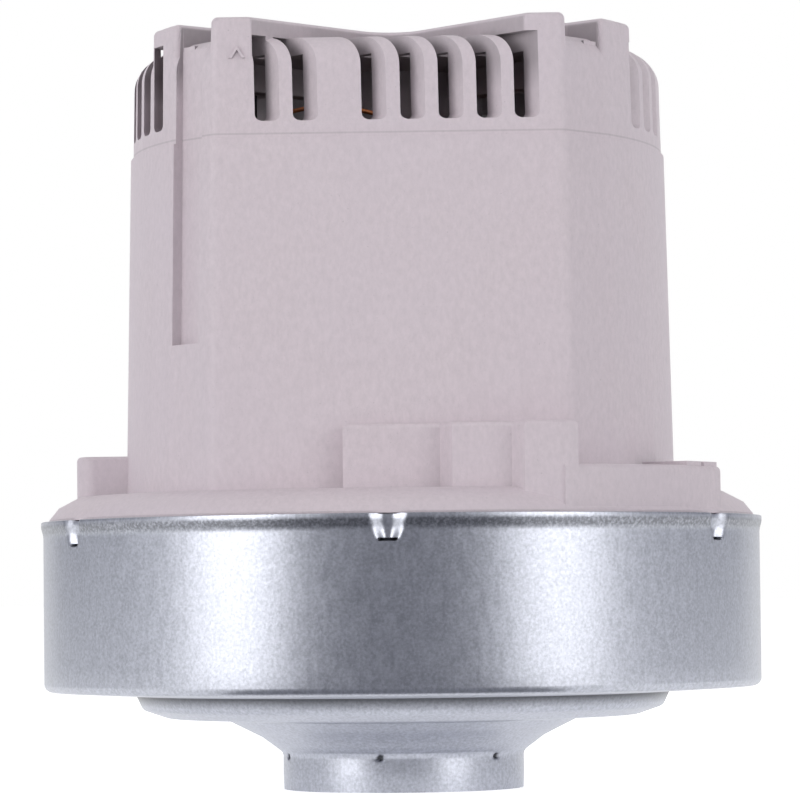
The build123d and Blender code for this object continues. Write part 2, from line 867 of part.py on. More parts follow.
def crown():
    """The raised roof with a scoop over each panel and each cut corner, and posts between them."""
    low_z = roof_z - shoulder_r
    outline = body_plan(parting_step + (low_z - body_base_z) * tan_draft())
    plan = outline
    rims = []
    for scoop in crown_scoops():
        plan -= scoop
        rims += scoop.edges()
    raised = Pos(0, 0, low_z) * extrude(plan, crown_z - low_z, taper=body_draft_deg)
    tips = []
    for edge in raised.edges().filter_by(Plane.XY, reverse=True):
        foot = edge.vertices().sort_by(Axis.Z)[0]
        foot = Vertex(foot.X, foot.Y, 0)
        off = [min(side.distance_to(foot) for side in group) for group in (rims, outline.edges())]
        tips += [edge] if max(off) < fit_gap else []
    raised = fillet(tips, crown_corner_r)
    return fillet(raised.edges().group_by(Axis.Z)[-1], crown_edge_r)


def vent_cutter():
    """One slanted slot through a wall whose outer face lies at y = 0 and looks towards -Y."""
    slot = block(-vent_width / 2, vent_width / 2, -vent_width, vent_depth, vent_low_z, roof_z + over)
    slot = fillet(slot.edges().filter_by(Axis.Y).group_by(Axis.Z)[0], vent_corner_r)
    return Rot(0, 0, vent_swirl_deg) * slot


def vents():
    """The slots: straight rows in the two flat panels, and rows that follow the bulged sides."""
    lean = parting_step + (vent_low_z - body_base_z) * tan_draft()
    slot = vent_cutter()
    flat = [Pos(place, lean - body_half_y, 0) * slot for place in vent_places]
    bulged = []
    for place in vent_side_places:
        turn = Rot(0, 0, degrees(place / body_side_r))
        bulged.append(Pos(0, -body_side_middle, 0) * turn * Pos(0, lean - body_side_r, 0) * slot)
    cuts = flat + [Rot(0, 0, quarter_turn_deg) * cut for cut in bulged]
    return cuts + [Rot(0, 0, half_turn_deg) * cut for cut in cuts]


def flange():
    """The deck and skirt that sit inside the shroud's rim."""
    return lathe(
        [
            (flange_r - flange_skirt_wall, flange_low_z),
            (flange_r, flange_low_z),
            (flange_r, flange_deck_z),
            (flange_shoulder_mid_r, flange_shoulder_mid_z),
            (flange_shoulder_r, flange_top_z),
            (0, flange_top_z),
            (0, flange_deck_z),
            (flange_r - flange_skirt_wall, flange_deck_z),
        ]
    )


def step_block():
    """The stepped block on the front of the flange, rising against the body."""
    slope = step_block_slope
    back_y = 2 * over - body_half_y
    low_y = -body_half_y - step_block_low
    mid_y = -body_half_y - step_block_mid
    front_y = -body_half_y - step_block_front
    points = [
        (-step_block_left, back_y),
        (-step_block_left, low_y),
        (step_block_mid_x, low_y),
        (step_block_mid_x + slope, mid_y),
        (step_block_right_x - slope, mid_y),
        (step_block_right_x, front_y),
        (step_block_end_x, front_y),
        (step_block_end_x, back_y),
    ]
    top_z = flange_top_z + step_block_height
    steps = prism(points, flange_deck_z, top_z)
    steps &= ring(flange_r - flange_block_inset, 0, flange_deck_z, top_z)
    front_edges = steps.edges().group_by(Axis.Z)[-1].sort_by(Axis.Y)[:-1]
    return fillet(front_edges, step_block_edge_r)


def ledge_block():
    """The low raised stretch of deck between the stepped block and the right boss."""
    out_r = flange_r - flange_block_inset
    top_z = flange_top_z + ledge_block_height
    start, end = ledge_block_from_deg + front_turn_deg, ledge_block_to_deg + front_turn_deg
    wedge = prism([(0, 0), polar(2 * out_r, start), polar(2 * out_r, end)], flange_deck_z, top_z)
    ledge = wedge & ring(out_r, flange_r - ledge_block_in, flange_deck_z, top_z)
    rims = ledge.edges().group_by(Axis.Z)[-1].filter_by(GeomType.CIRCLE)
    return fillet(rims.sort_by(SortBy.RADIUS)[-1], ledge_block_edge_r)


def left_boss():
    """The round post that stands against the body's left side."""
    low_z, top_z = flange_top_z - over, flange_top_z + left_boss_height
    post = ring(left_boss_r, 0, low_z, top_z)
    wall = block(0, left_boss_out + body_wall, -left_boss_r, left_boss_r, low_z, top_z)
    boss = fillet((post + wall).edges().group_by(Axis.Z)[-1], boss_edge_r)
    return Pos(-body_half_x - left_boss_out, -left_boss_y, 0) * boss


def right_boss():
    """The clip boss over the right-hand crimp, split by a narrow groove."""
    out = flange_r - right_boss_inset
    low_z, top_z = flange_top_z - 2 * over, flange_top_z + right_boss_height
    half, slit = right_boss_width / 2, right_boss_groove / 2
    boss = block(out - right_boss_length, out, -half, half, low_z, top_z)
    boss -= block(out - right_boss_groove, out + over, -slit, slit, low_z - over, top_z + over)
    boss &= ring(flange_shoulder_mid_r, 0, 0, room)
    return Rot(0, 0, right_boss_turn_deg + front_turn_deg) * boss


def terminal_block():
    """The block at the back that the two push-on tabs stand in."""
    half = terminal_block_width / 2
    front_y = body_half_y - 2 * over
    return block(-half, half, front_y, terminal_block_y, flange_top_z - over, terminal_block_top_z)


def holder_places():
    """Where each brush holder's two ears are screwed to the roof's pillars."""
    return [(holder_ear_place, -holder_ear_half), (holder_ear_place, holder_ear_half)]


def motor_housing():
    """The one-piece moulded housing: body, vented crown, flange and all its bosses."""
    body = drafted(0, body_base_z - over, parting_z)
    cap = drafted(parting_step, parting_z - over, roof_z)
    cap = fillet(cap.edges().group_by(Axis.Z)[-1], shoulder_r)
    shell = body + cap
    shell = shell + [flange(), step_block(), ledge_block(), left_boss(), right_boss(), terminal_block()]
    cavity_low = drafted(body_wall, body_base_z, parting_z)
    cavity_low += Pos(0, 0, flange_low_z) * extrude(body_plan(body_wall), body_base_z - flange_low_z)
    cavity_top = drafted(body_wall + parting_step, parting_z - over, roof_z - roof_wall)
    cavity = cavity_low + cavity_top
    low_cuts = [Pos(0, 0, -crown_vent_drop) * cut for cut in vents()]
    shell = shell - vents() + (crown() - low_cuts)
    shell = shell - cavity - groove_cut()
    hub = ring(hub_boss_r, 0, hub_boss_low_z, roof_z)
    rib = block(0, room, -hub_rib_width / 2, hub_rib_width / 2, hub_rib_low_z, roof_z - over)
    ribs = [turn * rib for turn in around(hub_rib_count, hub_rib_turn_deg)]
    inside = drafted(body_wall - over, parting_z - over, roof_z - over)
    hub = (hub + ribs) & inside
    pillar_tops = []
    for x, y in holder_places():
        pillar = Pos(x, y, 0) * ring(holder_ear_r, 0, ear_top_z, roof_z - over)
        pillar_tops += [pillar, Rot(0, 0, half_turn_deg) * pillar]
    posts = []
    for x, y in stator_screw_places():
        post = Pos(x, y, 0) * ring(stator_post_r, 0, stack_high_z, stator_post_top_z)
        reach = body_half_x - body_wall / 2 - stator_screw_x
        web_low_z = stack_high_z + insulation_sheet + running_gap
        web = block(0, reach, -stator_post_r, stator_post_r, web_low_z, stator_post_top_z)
        posts += [post, Pos(x, y, 0) * (web if x > 0 else Rot(0, 0, half_turn_deg) * web)]
    posts = (Part() + posts) & drafted(body_wall / 2, stack_high_z, stator_post_top_z)
    shell = shell + hub + pillar_tops + posts
    shell -= ring(hub_bore_r, 0, hub_boss_low_z - over, hub_seat_top_z)
    shell -= ring(bearing_r, 0, hub_seat_top_z - over, hub_seat_top_z + wave_washer_height)
    shell -= ring(shaft_r + running_gap, 0, hub_seat_top_z, shaft_top_z + over)
    for turn in around(bridge_arm_count):
        shell -= turn * Pos(bridge_screw_pcd_r, 0, 0) * ring(
            bridge_screw_r + fit_gap, 0, flange_deck_z - over, flange_deck_z + bridge_screw_bite + screw_gap
        )
    for x, y in stator_screw_places():
        shell -= Pos(x, y, 0) * ring(
            stator_screw_r + fit_gap, 0, stack_high_z - over, stack_high_z + stator_screw_bite + screw_gap
        )
    for x, y in holder_places():
        hole = Pos(x, y, 0) * ring(
            holder_screw_r + fit_gap, 0, ear_top_z - over, ear_top_z + holder_screw_bite + screw_gap
        )
        shell -= [hole, Rot(0, 0, half_turn_deg) * hole]
    half = crimp_width / 2 + crimp_border + flange_crimp_room
    notch = block(
        flange_r - flange_crimp_depth,
        flange_r + over,
        -half,
        half,
        crimp_floor_z - flange_crimp_room,
        shroud_rim_z,
    )
    shell -= [turn * notch for turn in around(crimp_count, front_turn_deg)]
    for x in (-terminal_tab_place, terminal_tab_place):
        half_w = terminal_tab_width / 2 + fit_gap
        half_t = terminal_tab_sheet / 2 + fit_gap
        shell -= block(
            x - half_w,
            x + half_w,
            terminal_tab_y - half_t,
            terminal_tab_y + half_t,
            terminal_block_top_z - terminal_tab_root - screw_gap,
            terminal_block_top_z + over,
        )
    return shell


def groove_cut():
    """The upright groove in the front left corner, open at the top and as deep all the way."""
    x, y, turn = corner_middle()
    face_r = x * cos(radians(turn)) + y * sin(radians(turn))
    along = y * cos(radians(turn)) - x * sin(radians(turn))
    face_r -= (groove_low_z - body_base_z) * tan_draft()
    half, middle = groove_width / 2, along + groove_shift
    slot = block(-groove_depth, groove_depth + over, middle - half, middle + half, 0, room)
    leaning = Pos(face_r, 0, groove_low_z) * Rot(0, -body_draft_deg, 0) * slot
    return Rot(0, 0, turn - half_turn_deg) * leaning


def stator_outline():
    """The stator's outer plan: a rectangle with cut corners."""
    x, y, cut_x, cut_y = stator_half_x, stator_half_y, stator_corner_x, stator_corner_y
    points = [(x, y - cut_y), (x - cut_x, y), (cut_x - x, y), (-x, y - cut_y)]
    points += [(-a, -b) for a, b in points]
    return make_face(Polyline(*points, close=True))


def stator_plan(trim=0.0):
    """The lamination's plan: yoke, two pole necks and their shoes round the bore."""
    plan = offset(stator_outline(), -trim) if trim else stator_outline()
    window = offset(stator_outline(), -yoke_y) & Rectangle(2 * window_half_x, 2 * window_half_y)
    plan -= window - Rectangle(2 * pole_neck_half, 2 * window_half_y)
    shoe = Circle(stator_bore_r + pole_shoe)
    reach = 2 * stator_half_x
    tip = [(0, 0), polar(reach, quarter_turn_deg - pole_shoe_reach_deg), (0, reach)]
    tip += [polar(reach, quarter_turn_deg + pole_shoe_reach_deg)]
    wedge = make_face(Polyline(*tip, close=True))
    shoes = shoe & (wedge + Rot(0, 0, half_turn_deg) * wedge)
    return plan + shoes - Circle(stator_bore_r)


def stator_screw_places():
    """Where the stack's two long screws stand."""
    return [(stator_screw_x, stator_screw_y), (-stator_screw_x, -stator_screw_y)]


def stator_core():
    """The laminated stack with its two poles."""
    core = Pos(0, 0, stack_low_z) * extrude(stator_plan(), stack_high_z - stack_low_z, dir=(0, 0, 1))
    hole = ring(stator_screw_r + screw_gap, 0, stack_low_z - over, stack_high_z + over)
    return core - [Pos(x, y, 0) * hole for x, y in stator_screw_places()]


def stator_insulation():
    """The two plastic end frames that keep the coils off the stack's edges."""
    plan = stator_plan(insulation_inset) - [
        Pos(x, y) * Circle(stator_screw_head_r + running_gap) for x, y in stator_screw_places()
    ]
    plan -= [Pos(x, y) * Circle(stator_post_r + running_gap) for x, y in stator_screw_places()]
    frame = extrude(plan, insulation_sheet, dir=(0, 0, 1))
    return Part() + [Pos(0, 0, z) * frame for z in (stack_low_z - insulation_sheet, stack_high_z)]


def field_coil(side):
    """One saddle-shaped coil round a pole neck, bent round the pole shoe."""
    shoe_r = stator_bore_r + pole_shoe + coil_gap
    plan = Circle(coil_outer_r) - Circle(shoe_r)
    x = window_half_x - coil_gap
    y0, y1 = coil_start_y, window_half_y - coil_gap
    plan &= Pos(0, (y0 + y1) / 2) * Rectangle(2 * x, y1 - y0)
    coil = Pos(0, 0, coil_low_z) * extrude(plan, coil_high_z - coil_low_z, dir=(0, 0, 1))
    ends = coil.edges().group_by(Axis.Z)
    coil = fillet(ends[-1] + ends[0], coil_edge_r)
    neck_x = pole_neck_half + coil_gap
    neck_z = insulation_sheet + coil_gap
    coil -= block(-neck_x, neck_x, 0, stator_half_y, stack_low_z - neck_z, stack_high_z + neck_z)
    return coil if side > 0 else Rot(0, 0, half_turn_deg) * coil


def stator_screws():
    """The long screws that hold the stack up against the housing's posts."""
    screw = ring(stator_screw_head_r, 0, stack_low_z - stator_screw_head, stack_low_z)
    screw += ring(stator_screw_r, 0, stack_low_z - over, stack_high_z + stator_screw_bite)
    return Part() + [Pos(x, y, 0) * screw for x, y in stator_screw_places()]


def rotor_slot(grow):
    """A tapered winding slot in plan, opened to the rim by a narrow mouth."""
    top, bottom = rotor_slot_top_width / 2 - grow, rotor_slot_bottom_width / 2 - grow
    y0, y1 = rotor_slot_bottom_r + grow, rotor_slot_top_r - grow
    points = [(-bottom, y0), (bottom, y0), (top, y1), (-top, y1)]
    return make_face(Polyline(*points, close=True))


def armature_core():
    """The slotted rotor stack."""
    plan = Circle(rotor_r) - Circle(shaft_core_r + fit_gap)
    mouth = Pos(0, rotor_r) * Rectangle(rotor_slot_mouth, 2 * (rotor_r - rotor_slot_top_r) + over)
    slot = rotor_slot(0) + mouth
    plan -= [turn * slot for turn in around(rotor_slot_count)]
    return Pos(0, 0, stack_low_z) * extrude(plan, stack_high_z - stack_low_z, dir=(0, 0, 1))


def armature_winding():
    """The copper winding: bars in the slots and a rounded head at each end."""
    gap = rotor_winding_gap
    c = winding_edge_r
    heads = []
    for z0, z1 in ((winding_low_z, stack_low_z - gap), (stack_high_z + gap, winding_high_z)):
        outer = z0 if z0 == winding_low_z else z1
        inner = z1 if z0 == winding_low_z else z0
        step = c if outer < inner else -c
        heads.append(
            lathe(
                [
                    (winding_inner_r, inner),
                    (winding_r, inner),
                    (winding_r, outer + step),
                    (winding_r - c, outer),
                    (winding_inner_r + c, outer),
                    (winding_inner_r, outer + step),
                ]
            )
        )
    bar = Pos(0, 0, winding_low_z + c) * extrude(
        rotor_slot(gap), winding_high_z - winding_low_z - 2 * c, dir=(0, 0, 1)
    )
    return heads[0] + heads[1] + [turn * bar for turn in around(rotor_slot_count)]


def commutator_hub():
    """The moulded hub that holds the copper bars on the shaft."""
    z0, z1 = commutator_low_z - commutator_hub_over, commutator_high_z + commutator_hub_over
    return ring(commutator_hub_r, shaft_core_r + fit_gap, z0, z1)


def commutator_bars():
    """The ring of copper bars with a riser at each lower end."""
    hub_r = commutator_r - commutator_bar_depth
    bar_ring = ring(commutator_r, hub_r, commutator_low_z, commutator_high_z)
    bar_ring += ring(commutator_r + riser_out, hub_r, commutator_low_z, commutator_low_z + riser_height)
    half = commutator_slot / 2
    slit = block(0, room, -half, half, commutator_low_z - over, commutator_high_z + over)
    return bar_ring - [turn * slit for turn in around(commutator_bar_count)]


def carbon_brush():
    """The carbon block, hollowed where it rides on the commutator."""
    half_w, half_h = brush_width / 2, brush_height / 2
    start = commutator_r - over
    brush = block(start, brush_back_r, -half_w, half_w, brush_z - half_h, brush_z + half_h)
    return brush - ring(brush_face_r, 0, brush_z - brush_height, brush_z + brush_height)


def brush_guide():
    """The folded brass tube that the brush slides in, closed at its outer end."""
    half_w, half_h = brush_width / 2 + brush_slide_gap, brush_height / 2 + brush_slide_gap
    out_w, out_h = guide_half_width, guide_half_height
    tube = block(guide_start_r, guide_end_r, -out_w, out_w, brush_z - out_h, brush_z + out_h)
    return tube - block(
        guide_start_r - over, guide_end_r - guide_cap, -half_w, half_w, brush_z - half_h, brush_z + half_h
    )


def brush_spring():
    """The coil spring behind the brush, drawn as the sleeve that its turns fill."""
    start = brush_back_r + spring_gap
    end = guide_end_r - guide_cap - spring_gap
    sleeve = Cylinder(spring_r, end - start, align=(Align.CENTER, Align.CENTER, Align.MIN))
    sleeve -= Cylinder(spring_r - spring_wire, end - start, align=(Align.CENTER, Align.CENTER, Align.MIN))
    return Pos(start, 0, brush_z) * Rot(0, 90, 0) * sleeve


def brush_holder():
    """The moulded holder that hangs from the housing's pillars by two ears."""
    in_w, in_h = guide_half_width + holder_gap, guide_half_height + holder_gap
    out_w, out_h = in_w + holder_wall, in_h + holder_wall
    body = block(holder_start_r, holder_end_r, -out_w, out_w, brush_z - out_h, brush_z + out_h)
    top = ear_top_z - fit_gap
    ears = []
    for x, y in holder_places():
        ears.append(Pos(x, y, 0) * ring(holder_ear_r, 0, top - holder_ear_height, top))
    ears.append(
        block(
            holder_ear_place - holder_ear_r,
            holder_ear_place + holder_ear_r,
            -holder_ear_half,
            holder_ear_half,
            top - holder_ear_height,
            top,
        )
    )
    body = (body & block(0, room, -room, room, 0, top)) + ears
    body -= block(
        holder_start_r - over, holder_end_r + over, -in_w, in_w, brush_z - in_h, brush_z + in_h
    )
    hole = ring(holder_screw_r + screw_gap, 0, top - holder_ear_height - over, top + over)
    return body - [Pos(x, y, 0) * hole for x, y in holder_places()]


def brush_holder_screws():
    """The small screws that fasten both holders up into the pillars."""
    low = ear_top_z - holder_ear_height - fit_gap
    screw = ring(holder_screw_head_r, 0, low - holder_screw_head, low)
    screw += ring(holder_screw_r, 0, low, ear_top_z + holder_screw_bite)
    pair = [Pos(x, y, 0) * screw for x, y in holder_places()]
    return Part() + pair + [Rot(0, 0, half_turn_deg) * one for one in pair]


def terminal_tabs():
    """The two flat push-on tabs at the back of the flange."""
    half_w, half_t, c = terminal_tab_width / 2, terminal_tab_sheet / 2, terminal_tab_chamfer
    z0, z1 = terminal_block_top_z - terminal_tab_root, terminal_block_top_z + terminal_tab_rise
    outline = [
        (-half_w, z0),
        (half_w, z0),
        (half_w, z1 - c),
        (half_w - c, z1),
        (c - half_w, z1),
        (-half_w, z1 - c),
    ]
    blade = extrude(Plane.XZ * make_face(Polyline(*outline, close=True)), half_t, both=True)
    places = (-terminal_tab_place, terminal_tab_place)
    return Part() + [Pos(x, terminal_tab_y, 0) * blade for x in places]


def opposite(piece):
    """The same piece on the other side of the shaft."""
    return Rot(0, 0, half_turn_deg) * piece


def pieces():
    """Every sub-part by the name of its file."""
    return {
        "fan_shroud": fan_shroud(),
        "inlet_seal_ring": inlet_seal_ring(),
        "impeller_front_disc": impeller_front_disc(),
        "impeller_back_disc": impeller_back_disc(),
        "impeller_blades": impeller_blades(),
        "impeller_nut": impeller_nut(),
        "impeller_washer": impeller_washer(),
        "impeller_hub_washer": impeller_hub_washer(),
        "spacer_sleeve": spacer_sleeve(),
        "motor_shaft": motor_shaft(),
        "lower_bearing_outer_ring": bearing_outer_ring(bearing_lower_z),
        "lower_bearing_inner_ring": bearing_inner_ring(bearing_lower_z),
        "lower_bearing_shields": bearing_shields(bearing_lower_z),
        "lower_bearing_balls": ball_set(bearing_lower_z),
        "upper_bearing_outer_ring": bearing_outer_ring(bearing_upper_z),
        "upper_bearing_inner_ring": bearing_inner_ring(bearing_upper_z),
        "upper_bearing_shields": bearing_shields(bearing_upper_z),
        "upper_bearing_balls": ball_set(bearing_upper_z),
        "upper_bearing_cup": upper_bearing_cup(),
        "wave_washer": wave_washer(),
        "diffuser": diffuser(),
        "diffuser_screws": diffuser_screws(),
        "bearing_bridge": bearing_bridge(),
        "bridge_screws": bridge_screws(),
        "motor_housing": motor_housing(),
        "stator_core": stator_core(),
        "stator_insulation": stator_insulation(),
        "field_coil_a": field_coil(1),
        "field_coil_b": field_coil(-1),
        "stator_screws": stator_screws(),
        "armature_core": armature_core(),
        "armature_winding": armature_winding(),
        "commutator_hub": commutator_hub(),
        "commutator_bars": commutator_bars(),
        "carbon_brush_a": carbon_brush(),
        "carbon_brush_b": opposite(carbon_brush()),
        "brush_guide_a": brush_guide(),
        "brush_guide_b": opposite(brush_guide()),
        "brush_spring_a": brush_spring(),
        "brush_spring_b": opposite(brush_spring()),
        "brush_holder_a": brush_holder(),
        "brush_holder_b": opposite(brush_holder()),
        "brush_holder_screws": brush_holder_screws(),
        "terminal_tabs": terminal_tabs(),
    }


if __name__ == "__main__":
    os.makedirs("parts", exist_ok=True)
    for name, shape in pieces().items():
        export_step(shape, "parts/" + name + ".step")
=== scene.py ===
"""Vacuum motor unit: the looks of every piece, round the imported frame. Metres, +Z up."""

import math

import bmesh
import bpy
from mathutils import Matrix, Vector


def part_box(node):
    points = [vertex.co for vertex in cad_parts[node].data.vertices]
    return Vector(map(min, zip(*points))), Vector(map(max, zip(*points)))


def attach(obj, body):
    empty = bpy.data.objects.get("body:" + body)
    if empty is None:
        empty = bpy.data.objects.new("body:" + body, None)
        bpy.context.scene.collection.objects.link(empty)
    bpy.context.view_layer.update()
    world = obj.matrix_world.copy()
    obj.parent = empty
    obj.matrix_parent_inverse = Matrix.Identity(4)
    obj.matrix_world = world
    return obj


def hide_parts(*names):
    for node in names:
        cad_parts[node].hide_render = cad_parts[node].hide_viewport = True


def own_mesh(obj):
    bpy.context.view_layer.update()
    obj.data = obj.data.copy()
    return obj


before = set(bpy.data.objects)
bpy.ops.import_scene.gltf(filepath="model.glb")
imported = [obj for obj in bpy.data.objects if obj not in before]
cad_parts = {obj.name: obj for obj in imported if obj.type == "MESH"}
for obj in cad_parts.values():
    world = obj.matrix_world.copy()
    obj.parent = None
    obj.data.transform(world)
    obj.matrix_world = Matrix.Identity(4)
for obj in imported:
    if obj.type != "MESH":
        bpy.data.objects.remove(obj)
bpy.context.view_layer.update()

bl_info = {
    "name": "Vacuum motor unit",
    "version": (1, 0, 0),
    "blender": (4, 5, 0),
    "location": "View3D > Sidebar > Motor",
    "description": "Dresses the packed vacuum motor with its finished meshes, materials and studio",
    "category": "Object",
}

MM = 0.001
EVEN = (1.0, 1.0, 1.0)
WHITE = (1.0, 1.0, 1.0, 1.0)
ROOT = "root"


# ---- Sizes and colours that a user would change -----------------------------------------------

def length(name, description, default, least=0.0):
    """A size in millimetres."""
    return bpy.props.FloatProperty(name=name, description=description, default=default, min=least)


def number(name, description, default, least=1):
    """A whole number of pieces."""
    return bpy.props.IntProperty(name=name, description=description, default=default, min=least)


def colour(name, description, default):
    """A base colour with its alpha."""
    return bpy.props.FloatVectorProperty(
        name=name, description=description, subtype="COLOR", size=4, min=0.0, max=1.0,
        default=default)


class MotorSizes(bpy.types.PropertyGroup):
    """Sizes of the pieces that are made here, in millimetres."""

    shroud_r: length("Shroud radius", "Outer radius of the drawn wall", 65.0, 10.0)
    sheet: length("Shroud sheet", "Thickness of the drawn steel", 0.9, 0.2)
    neck_r: length("Neck radius", "Outer radius of the inlet neck", 21.85, 5.0)
    rim_z: length("Rim height", "Height of the shroud's rim", 48.6, 10.0)
    lip_out: length("Lip flare", "How far the rim flares out", 0.4)
    crimps: number("Crimps", "Dents that hold the housing in the rim", 6)
    crimp_top: length("Crimp top width", "Width of a dent at the lip", 7.6, 1.0)
    crimp_low: length("Crimp low width", "Width of a dent at its sheared edge", 2.9, 1.0)
    crimp_z: length("Crimp slit height", "Height of the sheared edge", 44.2, 1.0)
    crimp_depth: length("Crimp depth", "How far a dent's inside stands in", 1.05)
    stakes: number("Stakes", "Punched dots round the neck", 6)
    stake_z: length("Stake height", "Height of the punched dots", 6.1)
    edge: length("Moulded edge", "Rounding of the moulding's edges", 0.3)
    mark: length("Arrow width", "Width of the raised arrow head", 2.9, 0.5)
    seam_z: length("Mould line height", "Height of the moulding's parting line", 114.7)
    ball: length("Ball", "Diameter of a bearing ball", 3.5, 0.5)
    ball_ring: length("Ball ring", "Radius of the circle of balls", 7.55, 1.0)
    balls: number("Balls", "Balls in each bearing", 7, 3)
    spring_r: length("Spring radius", "Radius of each brush spring's wire line", 2.05, 0.5)
    spring_wire: length("Spring wire", "Diameter of each brush spring's wire", 0.5, 0.1)
    spring_turns: length("Spring turns", "Turns of each brush spring", 6.5, 1.0)
    wire: length("Winding lead", "Diameter of the field winding's leads", 0.8, 0.2)


class MotorColours(bpy.types.PropertyGroup):
    """Base colours of the finishes."""

    housing: colour("Housing", "Moulded thermoset of the housing", (0.715, 0.625, 0.670, 1.0))
    zinc: colour("Zinc", "Plated steel of the shroud", (0.470, 0.483, 0.536, 1.0))
    steel: colour("Steel", "Ground and rolled steel", (0.56, 0.57, 0.59, 1.0))
    aluminium: colour("Aluminium", "Impeller sheet and casting", (0.74, 0.75, 0.77, 1.0))
    copper: colour("Copper", "Enamelled winding wire", (0.46, 0.15, 0.05, 1.0))
    brass: colour("Brass", "Guides and tabs", (0.60, 0.43, 0.17, 1.0))
    black: colour("Black plastic", "Ring, guide plate and holders", (0.022, 0.022, 0.024, 1.0))


def sizes():
    """The sizes in use."""
    return bpy.context.scene.motor_sizes


def colours():
    """The base colours in use."""
    return bpy.context.scene.motor_colours


# ---- Node and mesh helpers --------------------------------------------------------------------

def new_material(name):
    """An empty node tree with a Principled shader on its output."""
    made = bpy.data.materials.new(name)
    made.use_nodes = True
    tree = made.node_tree
    tree.nodes.clear()
    out = tree.nodes.new("ShaderNodeOutputMaterial")
    shader = tree.nodes.new("ShaderNodeBsdfPrincipled")
    tree.links.new(shader.outputs["BSDF"], out.inputs["Surface"])
    return made, tree, shader


def fill(tree, node, inputs):
    """Sets or links a node's inputs by name or number."""
    for key, value in inputs.items():
        if isinstance(value, bpy.types.NodeSocket):
            tree.links.new(value, node.inputs[key])
        else:
            node.inputs[key].default_value = value


def add(tree, kind, inputs=None, **settings):
    """A node with its settings and its inputs."""
    node = tree.nodes.new(kind)
    for key, value in settings.items():
        setattr(node, key, value)
    fill(tree, node, inputs or {})
    return node


def calc(tree, operation, first, second=0.0):
    """One step of arithmetic on numbers or sockets."""
    return add(tree, "ShaderNodeMath", {0: first, 1: second}, operation=operation).outputs[0]


def vector_calc(tree, operation, first, second=(0.0, 0.0, 0.0), out="Vector"):
    """One step of arithmetic on vectors."""
    node = add(tree, "ShaderNodeVectorMath", {0: first, 1: second}, operation=operation)
    return node.outputs[out]


def height_of(tree, vector):
    """The Z part of a vector."""
    return add(tree, "ShaderNodeSeparateXYZ", {0: vector}).outputs["Z"]


def placed(tree):
    """The piece's own coordinates, in metres."""
    return add(tree, "ShaderNodeTexCoord").outputs["Object"]


def scaled(tree, scale=EVEN, uv=None):
    """Coordinates of the piece, or of its UV map, stretched by the three scales."""
    start = add(tree, "ShaderNodeUVMap", uv_map=uv).outputs["UV"] if uv else placed(tree)
    return add(tree, "ShaderNodeMapping", {"Vector": start, "Scale": scale}).outputs["Vector"]


def noise(tree, where, scale, detail=3.0, roughness=0.55):
    """Noise from 0 to 1 at some coordinates."""
    settings = {"Vector": where, "Scale": scale, "Detail": detail, "Roughness": roughness}
    return add(tree, "ShaderNodeTexNoise", settings).outputs["Fac"]


def ramp(tree, value, low, high, start=0.0, end=1.0):
    """A value between two limits, stretched to a number range."""
    limits = {"Value": value, "From Min": low, "From Max": high, "To Min": start, "To Max": end}
    return add(tree, "ShaderNodeMapRange", limits).outputs["Result"]


def mixed(tree, share, first, second):
    """Two colours mixed by a share, each given as four numbers or a socket."""
    node = add(tree, "ShaderNodeMix", data_type="RGBA")
    fill(tree, node, {0: share, 6: first, 7: second})
    return node.outputs[2]


def marked(tree, name):
    """A number that the mesh carries at each point."""
    return add(tree, "ShaderNodeAttribute", attribute_name=name).outputs["Fac"]


def shade(base, factor):
    """A colour made lighter or darker, with its alpha kept."""
    return tuple(min(1.0, part * factor) for part in base[:3]) + (1.0,)


def bump(tree, shader, height, strength, distance):
    """A bump from a height, in metres of depth."""
    settings = {"Height": height, "Strength": strength, "Distance": distance}
    tree.links.new(add(tree, "ShaderNodeBump", settings).outputs["Normal"], shader.inputs["Normal"])


def mesh_object(name, vertices, faces):
    """A mesh object at the origin, from its vertices and faces."""
    mesh = bpy.data.meshes.new(name)
    mesh.from_pydata(vertices, [], faces)
    mesh.update()
    made = bpy.data.objects.new(name, mesh)
    bpy.context.scene.collection.objects.link(made)
    return made


def soften(made, angle=35.0):
    """Smooth shading, kept sharp past an angle in degrees."""
    made.data.shade_smooth()
    made.data.set_sharp_from_angle(angle=math.radians(angle))


def evaluated_mesh(made):
    """A new plain mesh of what the object's curve or modifiers make."""
    graph = bpy.context.evaluated_depsgraph_get()
    return bpy.data.meshes.new_from_object(made.evaluated_get(graph), depsgraph=graph)


def baked(made):
    """Applies the object's modifiers to its mesh."""
    mesh = evaluated_mesh(made)
    made.modifiers.clear()
    made.data = mesh


def put(made, material, slot, *nodes, body=ROOT):
    """Gives a finished piece its finish, its body and the nodes that it stands for."""
    made.data.materials.clear()
    made.data.materials.append(material)
    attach(made, body)
    if nodes:
        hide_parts(*nodes)


def geometry_tree(name, numbers, wholes=()):
    """A geometry tree with named number inputs, and its group input and output nodes."""
    tree = bpy.data.node_groups.new(name, "GeometryNodeTree")
    tree.interface.new_socket("Geometry", in_out="INPUT", socket_type="NodeSocketGeometry")
    for labels, kind in ((numbers, "NodeSocketFloat"), (wholes, "NodeSocketInt")):
        for label in labels:
            tree.interface.new_socket(label, in_out="INPUT", socket_type=kind)
    tree.interface.new_socket("Geometry", in_out="OUTPUT", socket_type="NodeSocketGeometry")
    return tree, tree.nodes.new("NodeGroupInput"), tree.nodes.new("NodeGroupOutput")


